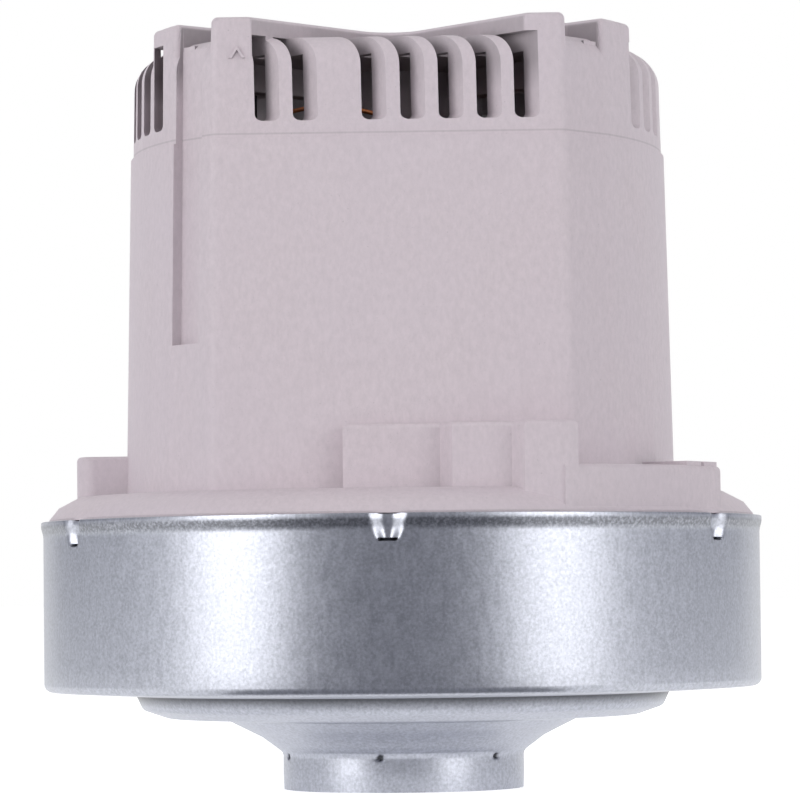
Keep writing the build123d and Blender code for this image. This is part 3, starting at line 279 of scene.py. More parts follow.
def finish_tree(tree, out, geometry, place, material, turn=(0.0, 0.0, 0.0)):
    """Ends a tree: the geometry turned, moved to its place, made real and given its material."""
    laid = add(tree, "GeometryNodeTransform",
               {"Geometry": geometry, "Translation": place, "Rotation": turn})
    real = add(tree, "GeometryNodeRealizeInstances", {"Geometry": laid.outputs[0]})
    painted = add(tree, "GeometryNodeSetMaterial",
                  {"Geometry": real.outputs[0], "Material": material})
    tree.links.new(painted.outputs[0], out.inputs[0])


def grown(name, tree, values):
    """An object whose plain mesh is what the tree makes from the values."""
    made = mesh_object(name, [], [])
    modifier = made.modifiers.new(name, "NODES")
    modifier.node_group = tree
    for item in tree.interface.items_tree:
        if item.item_type == "SOCKET" and item.in_out == "INPUT" and item.name in values:
            modifier[item.identifier] = values[item.name]
    baked(made)
    return made


# ---- Finishes ---------------------------------------------------------------------------------

def painted_hollow_shade(tree, body, cloud):
    """Painted shade in patches where the moulding's own shape shuts out the light."""
    reach = 14.0 * MM
    open_sky = add(tree, "ShaderNodeAmbientOcclusion", {"Distance": reach}, samples=6).outputs["AO"]
    share = calc(tree, "MULTIPLY", ramp(tree, open_sky, 0.62, 0.30, 0.0, 0.35),
                 ramp(tree, cloud, 0.25, 0.6, 0.7, 1.0))
    # The dark colour is painted shade, mixed in where ambient occlusion finds the hollows.
    return mixed(tree, share, body, (0.16, 0.145, 0.145, 1.0))


def wall_dust_and_painted_shade(tree, body, base):
    """Brush dust and painted shade on the walls that look inwards, and painted shade in the crown's
    scoops.
    """
    scoop_out, scoop_in = 44.0 * MM, 34.0 * MM
    crown_low, crown_high = 122.0 * MM, 127.0 * MM
    place = placed(tree)
    normal = add(tree, "ShaderNodeNewGeometry").outputs["True Normal"]
    flat = vector_calc(tree, "MULTIPLY", place, (1.0, 1.0, 0.0))
    away = vector_calc(tree, "LENGTH", flat, out="Value")
    facing = vector_calc(tree, "DOT_PRODUCT", vector_calc(tree, "NORMALIZE", flat), normal,
                         out="Value")
    # Near black on the walls that look inwards: painted shade of the housing's dark inside, with
    # the look of brush dust.
    dust_and_shade = ramp(tree, facing, -0.84, -0.93, 0.0, 0.93)
    body = mixed(tree, dust_and_shade, body, (0.030, 0.027, 0.026, 1.0))
    # Painted shade on the walls of the crown's scoops.
    scoop = calc(tree, "MAXIMUM", ramp(tree, away, scoop_out, scoop_in, 0.0, 0.5),
                 ramp(tree, facing, 0.6, 0.0, 0.0, 0.65))
    scoop = calc(tree, "MULTIPLY", scoop, ramp(tree, height_of(tree, place), crown_low, crown_high))
    scoop = calc(tree, "MULTIPLY", scoop, ramp(tree, height_of(tree, normal), 0.6, 0.3))
    return mixed(tree, scoop, body, shade(base, 0.28)), facing


def mould_line_shadow(tree, body, facing, base):
    """A thin painted shadow line where the mould's halves met, on the outside alone."""
    edge, core = 0.22 * MM, 0.08 * MM
    apart = calc(tree, "SUBTRACT", height_of(tree, placed(tree)), sizes().seam_z * MM)
    line = ramp(tree, calc(tree, "ABSOLUTE", apart), edge, core)
    share = calc(tree, "MULTIPLY", line, ramp(tree, facing, 0.3, 0.6, 0.0, 0.30))
    return mixed(tree, share, body, shade(base, 0.45))


def moulded_thermoset():
    """Pinkish grey moulding: fine mottling, painted shade in its hollows and the crown's scoops,
    brush dust and painted shade inside, and a painted shadow line at the mould line.
    """
    made, tree, shader = new_material("moulded_thermoset")
    base = colours().housing
    cool = (base[0] * 0.985, base[1], base[2] * 1.03, 1.0)
    fine = noise(tree, scaled(tree), 2600.0, 4.0, 0.7)
    flecks = noise(tree, scaled(tree, (1.0, 1.0, 0.6)), 1100.0, 4.0, 0.7)
    cloud = noise(tree, scaled(tree), 38.0, 2.0, 0.5)
    body = mixed(tree, ramp(tree, flecks, 0.30, 0.70), shade(base, 0.93), shade(base, 1.06))
    body = mixed(tree, ramp(tree, cloud, 0.3, 0.7, 0.0, 0.35), body, cool)
    body = mixed(tree, ramp(tree, fine, 0.66, 0.72), body, shade(base, 0.72))
    body = painted_hollow_shade(tree, body, cloud)
    body, facing = wall_dust_and_painted_shade(tree, body, base)
    body = mould_line_shadow(tree, body, facing, base)
    fill(tree, shader, {"Base Color": body, "Specular IOR Level": 0.42,
                        "Roughness": ramp(tree, fine, 0.3, 0.7, 0.46, 0.62)})
    bump(tree, shader, flecks, 0.25, 0.06 * MM)
    return made


def rim_dark_band(tree, body, grain, base):
    """A darker speckled band just under the shroud's rim, left out in the dents."""
    rim = sizes().rim_z
    low, full, fade, top = ((rim - drop) * MM for drop in (2.9, 2.0, 1.0, 0.5))
    height = height_of(tree, placed(tree))
    band = calc(tree, "MULTIPLY", ramp(tree, height, low, full), ramp(tree, height, top, fade))
    speckled = calc(tree, "MULTIPLY", band, ramp(tree, grain, 0.35, 0.60, 0.45, 1.0))
    outside_dents = ramp(tree, marked(tree, "Dented"), 0.0, 0.3, 1.0, 0.0)
    return mixed(tree, calc(tree, "MULTIPLY", speckled, outside_dents), body, shade(base, 0.40))


def drawn_zinc():
    """Zinc-plated deep-drawn steel with upright draw marks, speckle, a darker band under the rim,
    painted shade in its slits, punch marks and crease, and a soft gloss.
    """
    made, tree, shader = new_material("drawn_zinc")
    base = colours().zinc
    streaks = noise(tree, scaled(tree, (760.0, 210.0, 1.0), uv="Drawn"), 1.0, 4.0, 0.62)
    broad = noise(tree, scaled(tree, (60.0, 24.0, 1.0), uv="Drawn"), 1.0, 2.0, 0.5)
    grain = noise(tree, scaled(tree), 1900.0, 3.0, 0.65)
    body = mixed(tree, ramp(tree, streaks, 0.3, 0.7), shade(base, 0.90), shade(base, 1.08))
    body = mixed(tree, ramp(tree, broad, 0.3, 0.7, 0.0, 0.2), body, shade(base, 0.84))
    body = mixed(tree, ramp(tree, grain, 0.50, 0.66, 0.0, 0.5), body, shade(base, 0.64))
    body = mixed(tree, ramp(tree, grain, 0.48, 0.36, 0.0, 0.5), body, shade(base, 1.25))
    body = rim_dark_band(tree, body, grain, base)
    # Painted shade, near black, in the crimps' sheared slits, the neck's punch marks and the crease
    # under the raised step.
    body = mixed(tree, marked(tree, "PaintedShade"), body, shade(base, 0.05))
    fill(tree, shader, {"Base Color": body, "Metallic": 1.0,
                        "Roughness": ramp(tree, streaks, 0.25, 0.75, 0.31, 0.40)})
    bump(tree, shader, calc(tree, "ADD", streaks, grain), 0.22, 0.06 * MM)
    return made


def metal(name, base, roughness, grain_scale, stretch=EVEN, depth=0.03):
    """A metal finish with fine grain along a direction and a slightly uneven gloss."""
    made, tree, shader = new_material(name)
    grain = noise(tree, scaled(tree, stretch), grain_scale, 3.0, 0.6)
    patches = noise(tree, scaled(tree), 90.0, 2.0, 0.5)
    gloss = ramp(tree, grain, 0.25, 0.75, roughness - 0.07, roughness + 0.08)
    body = mixed(tree, ramp(tree, patches, 0.3, 0.7), shade(base, 0.88), shade(base, 1.06))
    fill(tree, shader, {"Base Color": body, "Metallic": 1.0, "Roughness": gloss})
    bump(tree, shader, grain, 0.25, depth * MM)
    return made


def ripple(tree, along, pitch):
    """A wave from -1 to 1 that repeats at a pitch in millimetres."""
    return calc(tree, "SINE", calc(tree, "MULTIPLY", along, 2 * math.pi / (pitch * MM)))


def laminated_steel():
    """Stacked sheets seen edge on: a line between each pair of sheets."""
    made, tree, shader = new_material("laminated_steel")
    sheet_pitch = 1.0
    base = shade(colours().steel, 0.55)
    wave = ripple(tree, height_of(tree, placed(tree)), sheet_pitch)
    rust = noise(tree, scaled(tree), 300.0, 4.0, 0.6)
    body = mixed(tree, ramp(tree, wave, -1.0, -0.4), shade(base, 0.45), base)
    body = mixed(tree, ramp(tree, rust, 0.55, 0.75, 0.0, 0.3), body, (0.16, 0.10, 0.07, 1.0))
    fill(tree, shader, {"Base Color": body, "Metallic": 0.9,
                        "Roughness": ramp(tree, rust, 0.3, 0.7, 0.38, 0.55)})
    bump(tree, shader, wave, 0.4, 0.08 * MM)
    return made


def enamelled_copper(name, wires):
    """Glossy amber enamel over copper, with the rows of wire where they aren't modelled: a bump,
    and painted shade between the rows.
    """
    made, tree, shader = new_material(name)
    row_pitch = 1.6
    base = colours().copper
    tone = noise(tree, scaled(tree), 160.0, 3.0, 0.6)
    body = mixed(tree, ramp(tree, tone, 0.3, 0.7), shade(base, 0.72), shade(base, 1.35))
    if wires:
        parts = add(tree, "ShaderNodeSeparateXYZ", {0: placed(tree)})
        across = calc(tree, "ADD", parts.outputs["X"], parts.outputs["Y"])
        wave = ripple(tree, across, row_pitch)
        # Painted shade in the grooves between the rows of wire.
        body = mixed(tree, ramp(tree, wave, -1.0, -0.5), shade(base, 0.3), body)
        bump(tree, shader, wave, 0.5, 0.2 * MM)
    fill(tree, shader, {"Base Color": body, "Metallic": 0.75, "Coat Weight": 0.6,
                        "Coat Roughness": 0.2, "Roughness": ramp(tree, tone, 0.3, 0.7, 0.28, 0.42)})
    return made


def plastic(name, base, roughness, depth=0.06):
    """A moulded plastic with a fine even texture and slightly lighter wear."""
    made, tree, shader = new_material(name)
    texture = noise(tree, scaled(tree), 700.0, 4.0, 0.65)
    wear = noise(tree, scaled(tree), 75.0, 3.0, 0.5)
    gloss = ramp(tree, texture, 0.3, 0.7, roughness - 0.07, roughness + 0.1)
    body = mixed(tree, ramp(tree, wear, 0.35, 0.75), shade(base, 0.85), shade(base, 1.3))
    fill(tree, shader, {"Base Color": body, "Roughness": gloss})
    bump(tree, shader, texture, 0.3, depth * MM)
    return made


def sintered_carbon():
    """Dark grey carbon with fine graphite glints."""
    made, tree, shader = new_material("sintered_carbon")
    carbon, glint = (0.018, 0.018, 0.02, 1.0), (0.09, 0.09, 0.1, 1.0)
    grain = noise(tree, scaled(tree), 2200.0, 3.0, 0.7)
    fill(tree, shader, {"Base Color": mixed(tree, ramp(tree, grain, 0.4, 0.75), carbon, glint),
                        "Roughness": ramp(tree, grain, 0.3, 0.7, 0.62, 0.42)})
    bump(tree, shader, grain, 0.3, 0.05 * MM)
    return made


# ---- Drawn shroud -----------------------------------------------------------------------------

def rounded_line(points, radii):
    """A line through the points with its inner corners rounded, as (radius, height) pairs."""
    step_deg = 9.0
    line = [Vector(points[0])]
    for i in range(1, len(points) - 1):
        before, here, after = (Vector(points[i + k]) for k in (-1, 0, 1))
        into, out = (here - before).normalized(), (after - here).normalized()
        turn = into.angle_signed(out) if radii[i - 1] > 0 else 0.0
        if abs(turn) < 1e-4:
            line.append(here)
            continue
        reach = radii[i - 1] * math.tan(abs(turn) / 2)
        side = Vector((-into.y, into.x)) * (-1 if turn > 0 else 1)
        middle = here - into * reach + side * radii[i - 1]
        arm = (here - into * reach) - middle
        count = max(2, int(math.degrees(abs(turn)) / step_deg) + 1)
        for k in range(count + 1):
            arc = Matrix.Rotation(-turn * k / count, 2)
            line.append(middle + arc @ arm)
    line.append(Vector(points[-1]))
    return line


def finer(line, low, high, step):
    """The line with closer points where its height lies between two limits."""
    coarse_step = 3.2
    done = [line[0]]
    for here in line[1:]:
        last = done[-1]
        inside = max(last.y, here.y) > low and min(last.y, here.y) < high
        count = max(1, math.ceil((here - last).length / (step if inside else coarse_step)))
        for k in range(1, count + 1):
            done.append(last.lerp(here, k / count))
    return done


def beside(points, sheet):
    """The points moved sideways by the sheet's thickness, mitred at the corners."""
    moved = []
    for i, here in enumerate(points):
        before = Vector(points[max(i - 1, 0)])
        after = Vector(points[min(i + 1, len(points) - 1)])
        at = Vector(here)
        into = (at - before).normalized() if i else (after - at).normalized()
        out = (after - at).normalized() if i < len(points) - 1 else into
        first, second = Vector((-into.y, into.x)), Vector((-out.y, out.x))
        mitre = (first + second).normalized()
        moved.append(at + mitre * (sheet / mitre.dot(first)))
    return moved


def inner_rounding(points, radii, sheet):
    """The radii of the sheet's inner side, smaller or larger by the sheet at each corner."""
    inner = []
    for i, radius in enumerate(radii):
        before, here, after = (Vector(points[i + k]) for k in (0, 1, 2))
        turn = (here - before).cross(after - here)
        wanted = radius + (-sheet if turn > 0 else sheet)
        inner.append(max(wanted, 0.0) if radius > 0 else 0.0)
    return inner


def shroud_section():
    """The sheet's closed section from the neck's edge, up the outside and down the inside."""
    size = sizes()
    r, rim, neck, flared = size.shroud_r, size.rim_z, size.neck_r, size.shroud_r + size.lip_out
    crimped_z, staked, rubbed = 41.5, (4.4, 7.6), 0.12
    outline = (                                      # radius, height, rounding
        (neck, 0.0, 0.0),                            # the neck's open edge
        (neck, 6.6, 1.3), (25.6, 9.4, 0.0), (32.0, 12.6, 1.5),       # up the cone
        (42.8, 13.1, 1.5), (47.2, 14.6, 1.6), (48.4, 17.2, 0.4),     # round the raised step
        (r, 18.1, 1.4), (r, 41.0, 0.0),              # up the wall
        (r, rim - 2.5, 3.0), (flared, rim - 1.0, 1.8), (flared, rim, 0.0))
    outer = [row[:2] for row in outline]
    radii = [row[2] for row in outline[1:-1]]
    inner_radii = inner_rounding(outer, radii, size.sheet)
    up = finer(rounded_line(outer, radii), crimped_z, rim, 0.32)
    up = finer(up, *staked, 0.28)
    down = finer(rounded_line(beside(outer, size.sheet), inner_radii), crimped_z, rim, 0.5)
    down.reverse()
    up[-1:] = [Vector((flared - 0.05, rim - 0.06)), Vector((flared - 0.18, rim))]
    up[0].x -= rubbed
    down[0].x += rubbed
    return up + down, len(up)


def smooth(value):
    """A soft step from 0 to 1."""
    value = max(0.0, min(1.0, value))
    return value * value * (3.0 - 2.0 * value)


def around(angle, middle, pitch):
    """The angle from the nearest of some evenly spaced places."""
    return (angle - middle + pitch / 2) % pitch - pitch / 2


def crimp_push(along, z, size):
    """How far a crimp pushes the wall in at a place, and how far that is in its slit, which is its
    share of painted shade.
    """
    slit_under, slit_over, slit_depth, shoulder, fullness = 0.2, 0.18, 1.7, 0.8, 1.25
    above = z - size.crimp_z
    if above < -slit_under:
        return 0.0, 0.0
    rise = max(0.0, min(1.0, above / (size.rim_z - size.crimp_z)))
    low = size.crimp_low + shoulder
    half = (low + (size.crimp_top - low) * rise ** 0.6) / 2
    deep = fullness * size.crimp_depth * smooth((half - abs(along)) / (0.9 * half))
    if above >= slit_over:
        return deep, 0.0
    sheared = smooth((size.crimp_low / 2 - abs(along)) / 0.6 + 0.5)
    return max(deep * min(1.0, rise * 9.0), slit_depth * sheared), sheared


def stake_push(angle, r, z, size):
    """The depth of the round punch marks in the neck's outside."""
    turn_deg, mark_r, slope, depth = 21.0, 0.75, 0.4, 0.4
    off = around(angle, math.radians(turn_deg), 2 * math.pi / size.stakes)
    return depth * smooth((mark_r - math.hypot(off * r, z - size.stake_z)) / slope)


def shroud_columns(size):
    """Angles of the section's copies, closer together over each crimp."""
    fine_steps, plain_steps, fine_half = 38, 46, 5.4
    angles, pitch = [], 2 * math.pi / size.crimps
    fine = fine_half / size.shroud_r
    for i in range(size.crimps):
        middle = -math.pi / 2 + i * pitch
        angles += [middle - fine + 2 * fine * k / fine_steps for k in range(fine_steps)]
        rest = pitch - 2 * fine
        angles += [middle + fine + rest * k / plain_steps for k in range(plain_steps)]
    return angles


def shroud_point(place, angle, outside, size):
    """A section point's radius and height at an angle, its share of painted shade in slit, punch
    mark and crease, and how far it's dented.
    """
    crimped_from, wall_from, staked_to = 40.0, 60.0, 8.0
    crease_in, crease_out, crease_z, crease_half = 45.0, 50.0, 17.1, 0.5
    lip, notch_half, notch_depth = 0.3, 1.9, 0.15
    r, z, shade_share, dent = place.x, place.y, 0.0, 0.0
    if z > crimped_from and r > wall_from:
        along = around(angle, -math.pi / 2, 2 * math.pi / size.crimps) * size.shroud_r
        # Painted shade in the sheared slit.
        push, shade_share = crimp_push(along, z, size)
        r -= push if outside else min(push, size.crimp_depth)
        dent = push / size.crimp_depth
        if z > size.rim_z - lip:
            z -= notch_depth * smooth((notch_half - abs(along)) / 0.5)
    elif outside and z < staked_to:
        push = stake_push(angle, r, z, size)
        r -= push
        # Painted shade in the punch mark.
        shade_share = 0.9 * smooth(push / 0.25)
    # Painted shade in the crease under the raised step.
    if crease_in < r < crease_out:
        shade_share = max(shade_share, 0.8 * smooth((crease_half - abs(z - crease_z)) / 0.4))
    return r, z, shade_share if outside else 0.0, dent


def ring_faces(count, rows):
    """Faces between neighbouring copies of a closed section, all the way round."""
    faces = []
    for c in range(count):
        n = (c + 1) % count
        for i in range(rows):
            j = (i + 1) % rows
            faces.append((c * rows + i, n * rows + i, n * rows + j, c * rows + j))
    return faces


def unroll(pan, section, angles, radius):
    """A UV map in metres: round the wall's circle, and along the section."""
    rows, lengths = len(section), [0.0]
    for i in range(1, rows + 1):
        lengths.append(lengths[-1] + (section[i % rows] - section[i - 1]).length * MM)
    spread = angles + [angles[0] + 2 * math.pi]
    places = ((spread[column] * radius * MM, lengths[row])
              for c in range(len(angles)) for i in range(rows)
              for column, row in ((c, i), (c + 1, i), (c + 1, i + 1), (c, i + 1)))
    layer = pan.data.uv_layers.new(name="Drawn")
    for corner, place in zip(layer.data, places):
        corner.uv = place


class MOTOR_OT_shroud(bpy.types.Operator):
    """Turns the shroud's section about the shaft line and dents its rim and neck"""

    bl_idname = "motor.shroud"
    bl_label = "Drawn shroud"

    def execute(self, context):
        size = sizes()
        section, outside = shroud_section()
        angles = shroud_columns(size)
        vertices, shade_share, dented = [], [], []
        for angle in angles:
            for i, place in enumerate(section):
                r, z, dark, dent = shroud_point(place, angle, i < outside, size)
                vertices.append((r * math.cos(angle) * MM, r * math.sin(angle) * MM, z * MM))
                shade_share.append(dark)
                dented.append(dent)
        pan = mesh_object("drawn_shroud", vertices, ring_faces(len(angles), len(section)))
        unroll(pan, section, angles, size.shroud_r)
        # The first attribute carries each point's share of painted shade, the second how far it's
        # dented.
        for name, values in (("PaintedShade", shade_share), ("Dented", dented)):
            pan.data.attributes.new(name, "FLOAT", "POINT").data.foreach_set("value", values)
        soften(pan, 38.0)
        put(pan, drawn_zinc(), "zinc_plated_steel", "fan_shroud")
        return {"FINISHED"}


# ---- Moulded housing --------------------------------------------------------------------------

def node_copy(node, name):
    """A plain copy of a CAD node's mesh, with its loose triangles merged."""
    same_place, same_plane_deg = 0.004 * MM, 1.2
    made = mesh_object(name, [], [])
    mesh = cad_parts[node].data.copy()
    solid = bmesh.new()
    solid.from_mesh(mesh)
    bmesh.ops.remove_doubles(solid, verts=solid.verts, dist=same_place)
    bmesh.ops.dissolve_limit(solid, angle_limit=math.radians(same_plane_deg), verts=solid.verts,
                             edges=solid.edges)
    solid.to_mesh(mesh)
    solid.free()
    mesh.name = name
    made.data = mesh
    return made


def raise_mark(shell, width):
    """The small raised arrow head on the front left post."""
    middle, foot, front, back = -26.1, 127.9, -43.82, -42.8
    half, stroke, tall, arm = width / 2, 0.55, 2.2, 0.8
    outline = ((-half, 0.0), (stroke - half, 0.0), (0.0, tall - arm), (half - stroke, 0.0),
               (half, 0.0), (0.0, tall))
    solid = bmesh.new()
    solid.from_mesh(shell.data)
    outer, inner = ([solid.verts.new(((middle + x) * MM, depth * MM, (foot + z) * MM))
                     for x, z in outline] for depth in (front, back))
    solid.faces.new(outer)
    solid.faces.new(inner[::-1])
    for i in range(len(outline)):
        j = (i + 1) % len(outline)
        solid.faces.new((outer[i], inner[i], inner[j], outer[j]))
    solid.to_mesh(shell.data)
    solid.free()


class MOTOR_OT_housing(bpy.types.Operator):
    """Rounds the moulding's edges and gives it its mottled finish"""

    bl_idname = "motor.housing"
    bl_label = "Moulded housing"

    def execute(self, context):
        shell = node_copy("motor_housing", "moulded_housing_shell")
        raise_mark(shell, sizes().mark)
        edge = shell.modifiers.new("Edge", "BEVEL")
        edge.width = sizes().edge * MM
        edge.segments = 2
        edge.limit_method = "ANGLE"
        edge.angle_limit = math.radians(38.0)
        edge.use_clamp_overlap = True
        baked(shell)
        soften(shell, 32.0)
        put(shell, moulded_thermoset(), "moulded_housing", "motor_housing")
        return {"FINISHED"}


# ---- Springs, balls and leads -----------------------------------------------------------------

def metres(tree, value):
    """A tree's millimetres as metres."""
    return calc(tree, "MULTIPLY", value, MM)


def spring_tree(material):
    """A coil spring along X at a height, from its start, length, radius, wire and turns."""
    tree, group, out = geometry_tree(
        "brush_spring", ("Start", "Length", "Radius", "Wire", "Turns", "Height"))
    given = group.outputs
    half = calc(tree, "MULTIPLY", given["Wire"], 0.5)
    radius = metres(tree, given["Radius"])
    line = metres(tree, calc(tree, "SUBTRACT", given["Length"], given["Wire"]))
    coil = add(tree, "GeometryNodeCurveSpiral",
               {"Resolution": 24, "Rotations": given["Turns"], "Start Radius": radius,
                "End Radius": radius, "Height": line})
    section = add(tree, "GeometryNodeCurvePrimitiveCircle",
                  {"Resolution": 8, "Radius": metres(tree, half)})
    wound = add(tree, "GeometryNodeCurveToMesh",
                {"Curve": coil.outputs[0], "Profile Curve": section.outputs[0], "Fill Caps": True})
    start = metres(tree, calc(tree, "ADD", given["Start"], half))
    place = add(tree, "ShaderNodeCombineXYZ", {0: start, 2: metres(tree, given["Height"])})
    along_x = (0.0, math.pi / 2, 0.0)
    finish_tree(tree, out, wound.outputs[0], place.outputs[0], material, along_x)
    return tree


class MOTOR_OT_springs(bpy.types.Operator):
    """Winds the two brush springs in the CAD springs' places"""

    bl_idname = "motor.springs"
    bl_label = "Brush springs"

    def execute(self, context):
        size = sizes()
        steel = metal("spring_wire", colours().steel, 0.26, 900.0)
        tree = spring_tree(steel)
        for side, sign in (("a", 1.0), ("b", -1.0)):
            low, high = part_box("brush_spring_" + side)
            ends = sorted(abs(value) for value in (low[0], high[0]))
            spring = grown("coil_spring_" + side, tree, {
                "Start": ends[0] / MM, "Length": (ends[1] - ends[0]) / MM,
                "Radius": size.spring_r, "Wire": size.spring_wire, "Turns": size.spring_turns,
                "Height": (low[2] + high[2]) / 2 / MM})
            if sign < 0:
                spring.data.transform(Matrix.Rotation(math.pi, 4, "Z"))
            soften(spring, 50.0)
            put(spring, steel, "spring_steel", "brush_spring_" + side)
            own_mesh(spring)
        return {"FINISHED"}


def ball_tree(material):
    """Balls evenly round a ring at a height, and the ribbon cage between them."""
    ribbon_wide, ribbon_tall = 0.7 * MM, 1.4 * MM
    tree, group, out = geometry_tree("ball_set", ("Ball", "Ring", "Height"), ("Balls",))
    given = group.outputs
    ring_r = metres(tree, given["Ring"])
    half = calc(tree, "MULTIPLY", given["Ball"], 0.5 * MM)
    circle = add(tree, "GeometryNodeMeshCircle", {"Vertices": given["Balls"], "Radius": ring_r})
    ball = add(tree, "GeometryNodeMeshUVSphere", {"Segments": 20, "Rings": 12, "Radius": half})
    balls = add(tree, "GeometryNodeInstanceOnPoints",
                {"Points": circle.outputs[0], "Instance": ball.outputs[0]})
    line = add(tree, "GeometryNodeCurvePrimitiveCircle", {"Resolution": 84, "Radius": ring_r})
    ribbon = add(tree, "GeometryNodeCurvePrimitiveQuadrilateral",
                 {"Width": ribbon_wide, "Height": ribbon_tall})
    cage = add(tree, "GeometryNodeCurveToMesh",
               {"Curve": line.outputs[0], "Profile Curve": ribbon.outputs[0], "Fill Caps": False})
    both = add(tree, "GeometryNodeJoinGeometry")
    for part in (balls, cage):
        tree.links.new(part.outputs[0], both.inputs[0])
    place = add(tree, "ShaderNodeCombineXYZ", {2: metres(tree, given["Height"])})
    finish_tree(tree, out, both.outputs[0], place.outputs[0], material)
    return tree


class MOTOR_OT_balls(bpy.types.Operator):
    """Sets round balls and a ribbon cage in both bearings"""

    bl_idname = "motor.balls"
    bl_label = "Bearing balls"

    def execute(self, context):
        size = sizes()
        steel = metal("ball_steel", colours().steel, 0.14, 300.0)
        tree = ball_tree(steel)
        for end in ("lower", "upper"):
            low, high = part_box(end + "_bearing_balls")
            made = grown(end + "_ball_set", tree, {
                "Balls": size.balls, "Ball": size.ball, "Ring": size.ball_ring,
                "Height": (low[2] + high[2]) / 2 / MM})
            soften(made, 40.0)
            put(made, steel, "bearing_steel", end + "_bearing_balls", body=end + "_cage")
        return {"FINISHED"}


def lead_wire(name, points, wire):
    """A round lead laid along a smooth line, as a closed mesh."""
    curve = bpy.data.curves.new(name, "CURVE")
    curve.dimensions = "3D"
    line = curve.splines.new("NURBS")
    line.points.add(len(points) - 1)
    for point, (x, y, z) in zip(line.points, points):
        point.co = (x * MM, y * MM, z * MM, 1.0)
    line.order_u = 3
    line.use_endpoint_u = True
    curve.resolution_u = 6
    curve.bevel_depth = wire * MM / 2
    curve.bevel_resolution = 3
    curve.use_fill_caps = True
    drawn = bpy.data.objects.new(name, curve)
    bpy.context.scene.collection.objects.link(drawn)
    mesh = evaluated_mesh(drawn)
    bpy.data.objects.remove(drawn)
    made = bpy.data.objects.new(name, mesh)
    bpy.context.scene.collection.objects.link(made)
    return made


class MOTOR_OT_leads(bpy.types.Operator):
    """Runs the field winding's leads from each coil up to a brush holder"""

    bl_idname = "motor.leads"
    bl_label = "Winding leads"

    def execute(self, context):
        route = ((-21, -28.8, 97.4), (-24, -31, 102), (-26, -32.5, 108), (-25, -33.5, 114),
                 (-21, -34, 118.5), (-14, -34, 120.5), (-7, -33.6, 120.2), (-1, -32, 118.8),
                 (6, -28, 117.6), (13, -19, 117.0), (17, -11, 116.6), (18, -8.2, 115.9),
                 (18, -5.3, 115.8))
        enamel = enamelled_copper("lead_enamel", False)
        for sign, side in ((1.0, "a"), (-1.0, "b")):
            points = [(x * sign, y * sign, z) for x, y, z in route]
            lead = lead_wire("coil_lead_" + side, points, sizes().wire)
            soften(lead, 50.0)
            put(lead, enamel, "winding_copper")
        return {"FINISHED"}


# ---- Finishes of the pieces that keep their CAD shape -----------------------------------------

def node_finishes():
    """Each finish with the CAD nodes that wear it."""
    tint = colours()
    aluminium = metal("rolled_aluminium", tint.aluminium, 0.30, 600.0, (1.0, 1.0, 6.0))
    plated = metal("plated_fastener", shade(tint.zinc, 1.15), 0.30, 900.0)
    ground = metal("ground_steel", tint.steel, 0.20, 1400.0, (1.0, 1.0, 8.0))
    polished = metal("bearing_steel", shade(tint.steel, 1.15), 0.13, 700.0)
    shield = metal("shield_steel", shade(tint.steel, 0.95), 0.32, 500.0)
    cast = metal("cast_alloy", shade(tint.aluminium, 0.75), 0.50, 420.0, depth=0.2)
    brass = metal("rolled_brass", tint.brass, 0.28, 700.0, (1.0, 1.0, 5.0))
    bars = metal("commutator_copper", (0.62, 0.30, 0.16, 1.0), 0.24, 900.0, (1.0, 1.0, 0.2))
    coils = enamelled_copper("wound_copper", True)
    black = plastic("black_moulding", tint.black, 0.42)
    ring = plastic("inlet_ring_moulding", shade(tint.black, 0.8), 0.36)
    rubber = plastic("bearing_rubber", (0.016, 0.016, 0.017, 1.0), 0.72, 0.1)
    cream = plastic("insulation_moulding", (0.72, 0.68, 0.58, 1.0), 0.5)
    resin = plastic("commutator_resin", (0.10, 0.045, 0.025, 1.0), 0.45)
    holder = plastic("holder_moulding", (0.045, 0.042, 0.04, 1.0), 0.45)
    return (
        (aluminium, ("impeller_front_disc", "impeller_back_disc", "impeller_blades")),
        (plated, ("impeller_nut", "impeller_washer", "impeller_hub_washer", "diffuser_screws",
                  "bridge_screws", "stator_screws", "brush_holder_screws")),
        (ground, ("motor_shaft", "spacer_sleeve")),
        (polished, ("lower_bearing_outer_ring", "lower_bearing_inner_ring",
                    "upper_bearing_outer_ring", "upper_bearing_inner_ring")),
        (shield, ("lower_bearing_shields", "upper_bearing_shields", "wave_washer")),
        (cast, ("bearing_bridge",)),
        (brass, ("brush_guide_a", "brush_guide_b", "terminal_tabs")),
        (bars, ("commutator_bars",)),
        (coils, ("field_coil_a", "field_coil_b", "armature_winding")),
        (black, ("diffuser",)),
        (ring, ("inlet_seal_ring",)),
        (rubber, ("upper_bearing_cup",)),
        (cream, ("stator_insulation",)),
        (resin, ("commutator_hub",)),
        (holder, ("brush_holder_a", "brush_holder_b")),
        (sintered_carbon(), ("carbon_brush_a", "carbon_brush_b")),
        (laminated_steel(), ("stator_core", "armature_core")),
    )


class MOTOR_OT_finishes(bpy.types.Operator):
    """Gives every piece that keeps its CAD shape its own finish"""

    bl_idname = "motor.finishes"
    bl_label = "Finishes"

    def execute(self, context):
        for material, nodes in node_finishes():
            for node in nodes:
                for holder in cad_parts[node].material_slots:
                    holder.material = material
        return {"FINISHED"}


# ---- Studio -----------------------------------------------------------------------------------

def background_ray(tree):
    """1 for camera, glossy and transmission rays, which show the bare background."""
    path = add(tree, "ShaderNodeLightPath").outputs
    seen = calc(tree, "MAXIMUM", path["Is Camera Ray"], path["Is Glossy Ray"])
    return calc(tree, "MAXIMUM", seen, path["Is Transmission Ray"])


